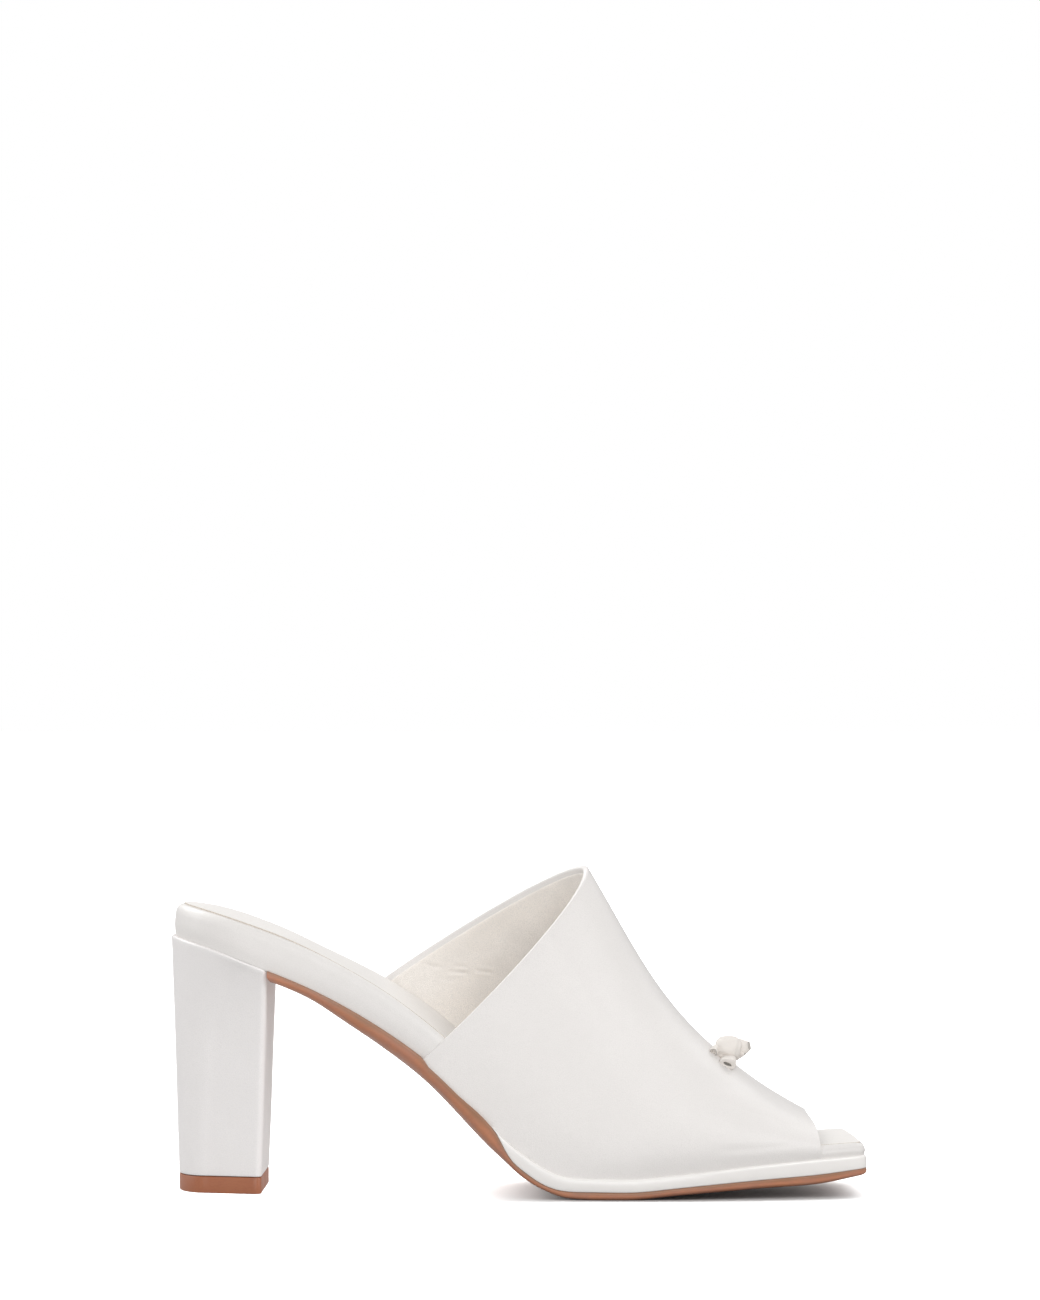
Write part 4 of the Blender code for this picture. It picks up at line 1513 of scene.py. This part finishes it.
@dataclass
class Sole:
    """The tan outsole and the glossy strip that stands on its front."""

    shop: Workshop
    belly_rise: float = 0.62     # height of the rounding under, as a share of its width
    belly_least: float = 0.2     # and the least that it is
    edge: float = 0.4            # rounding of the outsole's upper edge
    breast_gap: float = 0.1      # gap at the heel's breast
    glue: float = 0.02           # gap over each layer
    strip_start: float = 104.6
    strip_inset: float = 0.05
    strip_edge: float = 0.3      # rounding of the strip's lower edge
    strip_edge_height: float = 0.4
    strip_shoulder: float = 1.1  # rounding of the strip's upper edge
    strip_bulge: float = 0.05

    def belly(self, plan: Array) -> Array:
        """Width of the rounding under the outsole's edge."""
        return self.shop.last.table["belly"](plan[:, 0])

    def belly_height(self, plan: Array) -> Array:
        """Height of that rounding."""
        return self.belly_rise * self.belly(plan) + self.belly_least

    def outsole(self) -> None:
        """Make the outsole: thin at the toe, thick and rounded in the waist."""
        last = self.shop.last
        rim = Rim(self.belly, self.belly_height, even(self.edge), self.edge,
                  under_steps=9, over_steps=3, side_steps=2)
        start = max(row.front for row in HEEL) + self.breast_gap
        plate = Plate(last.cross_lines(start), even(0.0), last.ground,
                      lambda x, y: last.tread_top(x, y) - self.glue, rim)
        piece = plate.build(self.shop.bench, "outsole_leather")
        self.shop.bench.smooth(piece, FIRM)
        points = self.shop.bench.points(piece)
        low = last.ground(points[:, 0], points[:, 1])
        high = last.tread_top(points[:, 0], points[:, 1])
        rise = piece.data.attributes.new("rise", "FLOAT", "POINT")
        rise.data.foreach_set("value", (points[:, 2] - low) / (high - low))
        self.shop.hand_over(piece, Finish.SOLE, "outsole", "outsole")

    def strip(self) -> None:
        """Make the strip, which starts as a point at its rear."""
        last = self.shop.last
        rim = Rim(even(self.strip_edge), even(self.strip_edge_height),
                  even(self.strip_shoulder), self.strip_shoulder,
                  bulge=self.strip_bulge, under_steps=3)
        plate = Plate(last.cross_lines(self.strip_start), even(self.strip_inset),
                      last.tread_top,
                      lambda x, y: last.seat(x, y) - last.lap(x, y) - self.glue, rim)
        piece = plate.build(self.shop.bench, "gloss_strip")
        self.shop.bench.smooth(piece, SOFT)
        self.shop.hand_over(piece, Finish.STRIP, "midsole", "midsole")

    def build(self) -> None:
        """Make the sole's pieces."""
        self.outsole()
        self.strip()


@dataclass
class Heel:
    """The tall covered block and its top piece."""

    shop: Workshop
    tip_height: float = 5.4
    seam: float = 0.2            # fine gap over the top piece
    seat_seam: float = 0.05      # and under the footbed
    corner: float = 2.0          # rounding of the two front edges
    cover_edge: float = 0.35     # rounding of the cover's lower edge
    cover_shoulder: float = 0.9  # and of its upper edge
    tip_edge: float = 0.5        # rounding of the top piece's lower edge
    tip_inset: float = 0.05      # how far it stands in from the cover
    # insets and drops of the rings of its upper edge
    tip_lip: tuple[tuple[float, float], ...] = ((0.0, 0.3), (0.08, 0.08), (0.3, 0.0))
    softening: float = 0.03      # how far the table's bends are spread, in levels
    levels: int = 36
    edge_steps: int = 3          # rings of the roundings
    shoulder_steps: int = 5
    tip_steps: int = 4
    back_points: int = 22        # points along each part of the outline
    side_points: int = 14
    corner_points: int = 8
    breast_points: int = 8
    table: dict[str, Curve] = field(init=False)

    def __post_init__(self) -> None:
        """Read the heel's table."""
        self.table = read_table(HEEL, "level", self.softening)

    def section(self, level: float) -> Array:
        """Give the heel's plan outline at a level.

        Args:
            level: 0 at the bottom, 1 at the seat.

        Returns:
            The outline's plan points, once round.
        """
        read = {name: float(curve(level)) for name, curve in self.table.items()}
        angle = np.linspace(0.0, QUARTER, self.back_points)
        back = np.stack([read["back"] + read["round"] * (1 - np.cos(angle)),
                         read["shoulder"] * np.sin(angle)], axis=1)
        front = np.array([read["front"] - self.corner, read["width"]])
        t = np.linspace(0.0, 1.0, self.side_points)[1:, None]
        side = back[-1] * (1 - t) + front * t
        turn = np.linspace(0.0, QUARTER, self.corner_points)[1:]
        corner = np.stack([front[0] + self.corner * np.sin(turn),
                           front[1] - self.corner * (1 - np.cos(turn))], axis=1)
        end = corner[-1]
        t = np.linspace(0.0, 1.0, self.breast_points)[1:, None]
        breast = end * (1 - t) + np.array([end[0], 0.0]) * t
        half = np.concatenate([back, side, corner, breast])
        other = half[1:-1][::-1] * np.array([1.0, -1.0])
        return np.concatenate([half, other])

    def cover(self) -> None:
        """Make the covered block, whose top follows the seat's slope."""
        bench = self.shop.bench
        bottom = self.tip_height + self.seam
        rings = []
        for angle in np.linspace(0.0, QUARTER, self.edge_steps + 1):
            rings.append(self._ring(0.0, bottom, self.cover_edge * (1 - math.sin(angle)),
                                    self.cover_edge * (1 - math.cos(angle))))
        for level in np.linspace(0.0, 1.0, self.levels + 1)[1:-1]:
            rings.append(self._ring(level, bottom))
        for angle in np.linspace(0.0, QUARTER, self.shoulder_steps + 1):
            rings.append(self._ring(1.0, bottom, self.cover_shoulder * (1 - math.cos(angle)),
                                    -self.cover_shoulder * (1 - math.sin(angle))))
        piece = bench.ring("heel_cover", rings[0])
        bench.extrude(piece, rings[1:])
        bench.smooth(piece, FIRM)
        self.shop.hand_over(piece, Finish.HEEL, "heel", "heel")

    def _ring(self, level: float, bottom: float, inset: float = 0.0,
              rise: float = 0.0) -> Array:
        """Give one ring of the cover, pushed in and moved up.

        Args:
            level: 0 at the bottom of the cover, 1 at its top.
            bottom: height of its bottom.
            inset: how far the ring is pushed in.
            rise: how far it is moved up.

        Returns:
            The ring's points.
        """
        plan = pushed_in(self.section(level), inset)
        top = self.shop.last.seat(plan[:, 0], plan[:, 1]) - self.seat_seam
        z = bottom + (top - bottom) * level + rise
        return np.column_stack([plan, z])

    def tip(self) -> None:
        """Make the tan top piece that the heel stands on."""
        bench = self.shop.bench
        rings = []
        plan = self.section(0.0)
        steps = [(self.tip_edge * (1 - math.sin(angle)), self.tip_edge * (1 - math.cos(angle)))
                 for angle in np.linspace(0.0, QUARTER, self.tip_steps + 1)]
        steps += [(inset, self.tip_height - drop) for inset, drop in self.tip_lip]
        for inset, z in steps:
            ring = pushed_in(plan, inset + self.tip_inset)
            rings.append(np.column_stack([ring, np.full(len(ring), z)]))
        piece = bench.ring("heel_top_piece", rings[0])
        bench.extrude(piece, rings[1:])
        bench.smooth(piece, FIRM)
        self.shop.hand_over(piece, Finish.TIP, "heel_tip", "heel_tip")

    def build(self) -> None:
        """Make the heel's pieces."""
        self.cover()
        self.tip()


@dataclass(frozen=True)
class StripEnd:
    """One end of the knotted strip, in millimetres from the knot's middle."""

    name: str
    path: tuple[Triple, Triple, Triple]   # the last is at the cut
    width: tuple[float, float]   # level size, at the root and the cut
    height: tuple[float, float]
    hole: Triple | None = None   # width, height, turn in degrees
    raw_rim: bool = True         # whether the darker raw finish goes on the rim, or on the hole's wall and floor
    deep: float = 0.95           # depth of the hole
    POINTS: ClassVar[int] = 24   # points round the strip
    SQUARENESS: ClassVar[float] = 0.8

    def at(self, t: float) -> tuple[Array, Array]:
        """Give a point of the path and the three directions there, as rows.

        Args:
            t: place on the path, 0 to 1.

        Returns:
            The point, and the sideways, upward and forward directions.
        """
        start, middle, end = (np.array(point) for point in self.path)
        point = start * (1 - t) ** 2 + middle * 2 * t * (1 - t) + end * t ** 2
        along = (middle - start) * (1 - t) + (end - middle) * t
        along /= np.linalg.norm(along)
        side = np.cross(along, [0.0, 0.0, 1.0])
        side /= np.linalg.norm(side)
        return point, np.stack([side, np.cross(side, along), along])

    def ring(self, t: float, trim: float = 0.0, ahead: float = 0.0,
             hollow: float | None = None) -> Array:
        """Give a ring of the strip, or of its hole widened by hollow.

        Args:
            t: place on the path, 0 to 1.
            trim: how much smaller the ring is all round.
            ahead: how far the ring is moved on.
            hollow: extra size of the hole; None is the outside.

        Returns:
            The ring's points, from the knot's middle.
        """
        width = self.width[0] + (self.width[1] - self.width[0]) * t
        height = self.height[0] + (self.height[1] - self.height[0]) * t
        turn = 0.0
        if hollow is not None:
            width, height = self.hole[0] + hollow, self.hole[1] + hollow
            turn = math.radians(self.hole[2])
        angle = np.linspace(0.0, 2 * math.pi, self.POINTS, endpoint=False) - turn
        u = self.squared(np.cos(angle)) * (width / 2 - trim)
        v = self.squared(np.sin(angle)) * (height / 2 - trim)
        point, axes = self.at(t)
        across = u * math.cos(turn) - v * math.sin(turn)
        up = u * math.sin(turn) + v * math.cos(turn)
        return point + np.column_stack([across, up, np.full(self.POINTS, ahead)]) @ axes

    def squared(self, share: Array) -> Array:
        """Push a round section's sine or cosine towards a square one's."""
        return np.sign(share) * np.abs(share) ** self.SQUARENESS


@dataclass
class Knot:
    """The little knot tied from a narrow, rolled strip of leather."""

    shop: Workshop
    middle: Triple = (181.4, -3.0, 45.85)
    half_size: Triple = (4.4, 4.3, 4.0)
    back: float = 1.2            # how far its body stands back of the middle
    around: int = 72
    sections: int = 45
    ends_share: float = 0.25     # how thick its body's two ends are
    fullness: tuple[float, float] = (2.8, 0.45)   # the powers of its long section
    seam: float = 0.30           # depth of the line where the strip meets itself
    seam_turn: float = 0.63      # where that runs, and how far it winds
    seam_wind: float = 0.49
    seam_width: float = 0.5
    seam_radius: float = 3.6     # how far it is from the middle
    seam_fade: float = 0.5       # share of the body over which it ends
    waist: float = 0.32          # depth of the pinch before the toe end
    waist_at: float = 0.74       # where that is, and how far it slants
    waist_slant: float = 0.10
    waist_width: float = 0.45
    lap: float = 0.22            # height of the strip's overlap
    lap_turn: float = 0.7        # where that starts, and how far it winds
    lap_wind: float = 1.1
    lap_soft: float = 0.5
    sway: float = 0.35           # how far the sections lean, and to where
    sway_turn: float = 0.4
    lip: float = 0.3             # rounding of the strip's cut ends
    steps: int = 14              # rings along each end, and round its lip
    lip_steps: int = 4
    hole_lip_steps: int = 3
    hole_depths: tuple[float, ...] = (0.3, 0.7)   # rings before the hole's floor
    ends: tuple[StripEnd, ...] = (
        StripEnd("knot_toe_end", ((0.4, 0.8, -0.2), (4.0, 1.4, 0.5), (5.5, 0.2, 0.9)),
                 (3.6, 2.0), (8.2, 3.1)),
        StripEnd("knot_toe_end_low", ((2.0, 0.0, -1.0), (3.4, -0.4, -1.6), (4.1, -1.4, -1.6)),
                 (2.2, 1.0), (2.2, 1.1)),
        StripEnd("knot_heel_end", ((-1.8, -0.6, 0.2), (-5.3, -0.8, 0.6), (-5.9, -5.0, -0.7)),
                 (3.2, 2.7), (3.2, 2.7), (1.5, 1.5, 0.0)),
        StripEnd("knot_loop", ((-0.5, 1.0, -3.0), (-1.0, -4.2, -2.9), (-1.4, -7.2, -4.4)),
                 (4.4, 5.6), (2.2, 4.2), (2.6, 1.1, 28.0), raw_rim=False),
    )
    RIM_SHARE: ClassVar[float] = 0.9     # the part of the lip that is the cut's rim
    HOLE_SLACK: ClassVar[float] = 0.1    # how far past a hole its wall is looked for
    HOLE_REACH: ClassVar[float] = 1.1    # and how far out, in the hole's half sizes

    def placed(self, points: Array) -> Array:
        """Move points from the knot's middle to the maker's frame."""
        return points + np.array(self.middle)

    def wrap(self) -> None:
        """Make the knot's body: the strip wound round itself, with its laps."""
        around = np.linspace(0.0, 2 * math.pi, self.around, endpoint=False)
        long, wide, tall = self.half_size
        full, blunt = self.fullness
        rings = []
        for s in np.linspace(-1.0, 1.0, self.sections):   # from its heel end to its toe end
            bulk = self.ends_share + (1 - self.ends_share) * (1 - abs(s) ** full) ** blunt
            turned = around - math.pi - self.seam_turn - self.seam_wind * s
            from_seam = np.angle(np.exp(1j * turned)) * self.seam_radius
            seam = np.exp(-(from_seam / self.seam_width) ** 2)
            seam *= ease((1.0 - s) / self.seam_fade)
            from_waist = (s - self.waist_at - self.waist_slant * np.sin(around)) * long
            waist = np.exp(-(from_waist / self.waist_width) ** 2)
            lap = ease(np.sin(around - self.lap_turn - self.lap_wind * s) / self.lap_soft)
            change = self.lap * lap * bulk - (self.seam * seam + self.waist * waist)
            y = (wide * bulk + change) * np.cos(around)
            z = (tall * bulk + change) * np.sin(around)
            x = long * s - self.back + self.sway * np.sin(around + self.sway_turn)
            rings.append(self.placed(np.stack([x, y, z], axis=1)))
        piece = self.shop.bench.ring("knot_wrap", rings[0])
        self.shop.bench.extrude(piece, rings[1:])
        self.shop.bench.smooth(piece, SOFT)
        self.shop.hand_over(piece, Finish.KNOT, "knot", "knot")

    def strip_end(self, end: StripEnd) -> None:
        """Run the strip to one of its ends, rolled hollow or solid.

        Args:
            end: the end to make.
        """
        rings = [end.ring(t) for t in np.linspace(0.0, 1.0, self.steps)]
        for angle in np.linspace(0.0, QUARTER, self.lip_steps + 1)[1:]:
            rings.append(end.ring(1.0, self.lip * (1 - math.cos(angle)),
                                  self.lip * math.sin(angle)))
        if end.hole is not None:
            for angle in np.linspace(QUARTER, 0.0, self.hole_lip_steps + 1):
                rings.append(end.ring(1.0, 0.0, self.lip * math.sin(angle),
                                      2 * self.lip * (1 - math.cos(angle))))
            for deep in (*self.hole_depths, end.deep):
                rings.append(end.ring(1.0, 0.0, -deep, 0.0))
        piece = self.shop.bench.ring(end.name, self.placed(rings[0]))
        self.shop.bench.extrude(piece, [self.placed(ring) for ring in rings[1:]])
        self.shop.bench.smooth(piece, SOFT)
        self.shop.wardrobe.dress(piece, Finish.KNOT)
        piece.data.materials.append(self.shop.wardrobe.get(Finish.RAW))
        tip, axes = end.at(1.0)
        tip = self.shop.bench.to_frame(self.placed(tip))
        for face in piece.data.polygons:
            offset = (np.array(face.center) - tip) / MM @ axes.T
            on_rim = offset[2] > self.RIM_SHARE * self.lip
            raw = on_rim if end.raw_rim else self.in_hole(end, offset)
            face.material_index = int(raw)
        self.shop.hand_over(piece, Finish.KNOT, "knot")

    def in_hole(self, end: StripEnd, offset: Array) -> bool:
        """Say whether a place, seen from the strip's cut, is on the hole's wall.

        Args:
            end: the strip's end.
            offset: the place, in the directions that its at gives.

        Returns:
            True on the hole's wall or floor.
        """
        width, height, turn = end.hole
        turn = math.radians(turn)
        spin = np.array([[math.cos(turn), -math.sin(turn)], [math.sin(turn), math.cos(turn)]])
        across = offset[:2] @ spin / (np.array([width, height]) / 2)
        deepest = -self.HOLE_SLACK - end.deep
        return bool(deepest < offset[2] and np.hypot(*across) < self.HOLE_REACH)

    def build(self) -> None:
        """Make the knot's pieces."""
        self.wrap()
        for end in self.ends:
            self.strip_end(end)


class Lamp(NamedTuple):
    """One soft light, in metres and watts."""

    name: str
    at: Triple
    size: tuple[float, float]
    power: float
    only: tuple[str, ...] = ()   # the pieces it lights; none means the whole sandal
    spared: tuple[str, ...] = ()  # the pieces it leaves out
    through: bool = False        # whether the pieces it doesn't light let it by


@dataclass
class Studio:
    """The pale floor, the soft lights and the camera."""

    shop: Workshop
    camera_at: Triple = (148.9, -1798.0, 175.0)   # millimetres of the maker's frame
    camera_turn: float = 1.15    # degrees to the left
    aim: Triple = (0.0, 0.0, 0.04)   # where the lamps are turned to, in metres
    lens: float = 153.37
    sensor: float = 36.0
    clip: tuple[float, float] = (0.05, 50.0)
    world: float = 0.558         # light from all round
    lamps: tuple[Lamp, ...] = (
        Lamp("front", (0.0, -2.0, 0.7), (1.4, 1.0), 8.9),
        Lamp("front_low", (0.0, -2.0, 0.15), (1.6, 0.5), 6.9, spared=("band_lining",)),
        Lamp("front_right", (1.1, -1.2, 1.5), (1.0, 1.0), 12.9),
        Lamp("left", (-2.0, 0.2, 0.8), (1.0, 1.0), 11.6),
        Lamp("back_left", (-1.2, 1.2, 1.6), (1.0, 1.0), 22.5),
        Lamp("back_right", (1.2, 1.2, 1.6), (1.0, 1.0), 8.4),
        Lamp("inside", (0.0, -0.2, 2.2), (1.6, 1.2), 11.0, ("band_lining", "sock_lining")),
        Lamp("collar", (0.0, -2.0, 0.9), (1.2, 0.8), 4.5, ("band_lining",)),
        Lamp("breast", (1.8, -0.3, 0.3), (0.8, 0.5), 8.4, ("heel_cover", "heel_top_piece"),
             through=True),
    )
    floor_power: float = 13.5    # a low, broad light from behind, for the floor alone
    floor_tilt: float = -66.0
    floor_spread: float = 90.0
    floor_size: float = 14.0     # in metres, as the next
    floor_shift: float = 3.0
    paper: float = 0.86          # how light the floor is
    paper_cloud: float = 300.0   # size of its clouds
    paper_range: float = 0.01    # how much they vary
    floor_bounce: float = 0.24   # what the floor throws back up at the sandal

    def floor(self) -> None:
        """Lay the floor."""
        self.shop.bench.clear_selection()
        bpy.ops.mesh.primitive_plane_add(size=self.floor_size,
                                         location=(0.0, self.floor_shift, 0.0))
        floor = bpy.context.object
        floor.name = "studio_floor"
        recipe = Recipe("floor_paper")
        clouds = recipe.noise(self.paper_cloud, 2.0)
        grey = (self.paper,) * 3
        paper = recipe.mix(clouds, rgba(grey, 1 - self.paper_range),
                           rgba(grey, 1 + self.paper_range))
        seen = recipe.add("ShaderNodeLightPath").outputs["Is Camera Ray"]
        colour = recipe.mix(seen, rgba((self.floor_bounce,) * 3), paper)
        floor.data.materials.append(recipe.finish(
            Base_Color=colour, Roughness=1.0, Specular_IOR_Level=0.0))
        floor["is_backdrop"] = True

    def hang(self, lamp: Lamp) -> None:
        """Hang one soft light, turned to the sandal and lighting nothing else.

        Args:
            lamp: the light to hang.
        """
        light = bpy.data.lights.new(lamp.name, "AREA")
        light.shape, light.size, light.size_y = "RECTANGLE", lamp.size[0], lamp.size[1]
        light.energy = lamp.power
        hung = bpy.data.objects.new(lamp.name, light)
        bpy.context.scene.collection.objects.link(hung)
        hung.location = lamp.at
        facing = Vector(self.aim) - Vector(lamp.at)
        hung.rotation_euler = facing.to_track_quat("-Z", "Y").to_euler()
        names = lamp.only or [piece.name for piece in self.shop.made]
        names = [name for name in names if name not in lamp.spared]
        lit = self.group(lamp.name + "_lit", names)
        hung.light_linking.receiver_collection = lit
        if lamp.through:
            hung.light_linking.blocker_collection = lit

    def group(self, name: str, pieces: Sequence[str]) -> bpy.types.Collection:
        """Gather pieces by name, for a light to be linked to.

        Args:
            name: the group's name.
            pieces: the names of what goes in.

        Returns:
            The new collection.
        """
        gathered = bpy.data.collections.new(name)
        for piece in pieces:
            gathered.objects.link(bpy.data.objects[piece])
        return gathered

    def lights(self) -> None:
        """Light the studio."""
        world = bpy.data.worlds.new("studio")
        bpy.context.scene.world = world
        world.use_nodes = True
        nodes, links = world.node_tree.nodes, world.node_tree.links
        background, seen = nodes["Background"], nodes.new("ShaderNodeLightPath")
        span = nodes.new("ShaderNodeMapRange")
        span.inputs["To Min"].default_value = self.world
        links.new(seen.outputs["Is Camera Ray"], span.inputs["Value"])
        links.new(span.outputs["Result"], background.inputs["Strength"])
        background.inputs["Color"].default_value = (1.0, 1.0, 1.0, 1.0)
        for lamp in self.lamps:
            self.hang(lamp)
        sun = bpy.data.lights.new("floor_light", "SUN")
        sun.energy, sun.angle = self.floor_power, math.radians(self.floor_spread)
        overhead = bpy.data.objects.new("floor_light", sun)
        bpy.context.scene.collection.objects.link(overhead)
        overhead.rotation_euler = (math.radians(self.floor_tilt), 0.0, 0.0)
        linking = overhead.light_linking
        linking.receiver_collection = self.group("floor_lit", ["studio_floor"])
        linking.blocker_collection = self.group("floor_shaded", ["gloss_strip"])

    def camera(self) -> None:
        """Set up the camera, level and a little turned."""
        data = bpy.data.cameras.new("camera")
        data.lens, data.sensor_width, data.sensor_fit = self.lens, self.sensor, "AUTO"
        data.clip_start, data.clip_end = self.clip
        camera = bpy.data.objects.new("camera", data)
        bpy.context.scene.collection.objects.link(camera)
        camera.location = self.shop.bench.to_frame(np.array(self.camera_at))
        camera.rotation_euler = (QUARTER, 0.0, math.radians(self.camera_turn))
        bpy.context.scene.camera = camera

    def build(self) -> None:
        """Make the studio."""
        self.floor()
        self.lights()
        self.camera()
        view = bpy.context.scene.view_settings
        view.view_transform, view.look = "Standard", "None"


def write_sizes(cad: tuple[Vector, Vector]) -> None:
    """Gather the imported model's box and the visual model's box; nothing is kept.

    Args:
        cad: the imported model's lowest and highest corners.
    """
    boxes = {"cad": cad, "visual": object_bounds()}
    {name: [list(corner) for corner in box] for name, box in boxes.items()}


def main() -> None:
    """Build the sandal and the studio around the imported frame."""
    logging.basicConfig(level=logging.INFO, format="%(name)s: %(message)s")
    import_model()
    cad_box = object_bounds()
    shop = Workshop(Bench(), Last(), Wardrobe())
    for part in (Sole(shop), Footbed(shop), Band(shop), Heel(shop), Knot(shop), Studio(shop)):
        LOG.info("building %s", type(part).__name__.lower())
        part.build()
    write_sizes(cad_box)


if __name__ == "__main__":
    main()
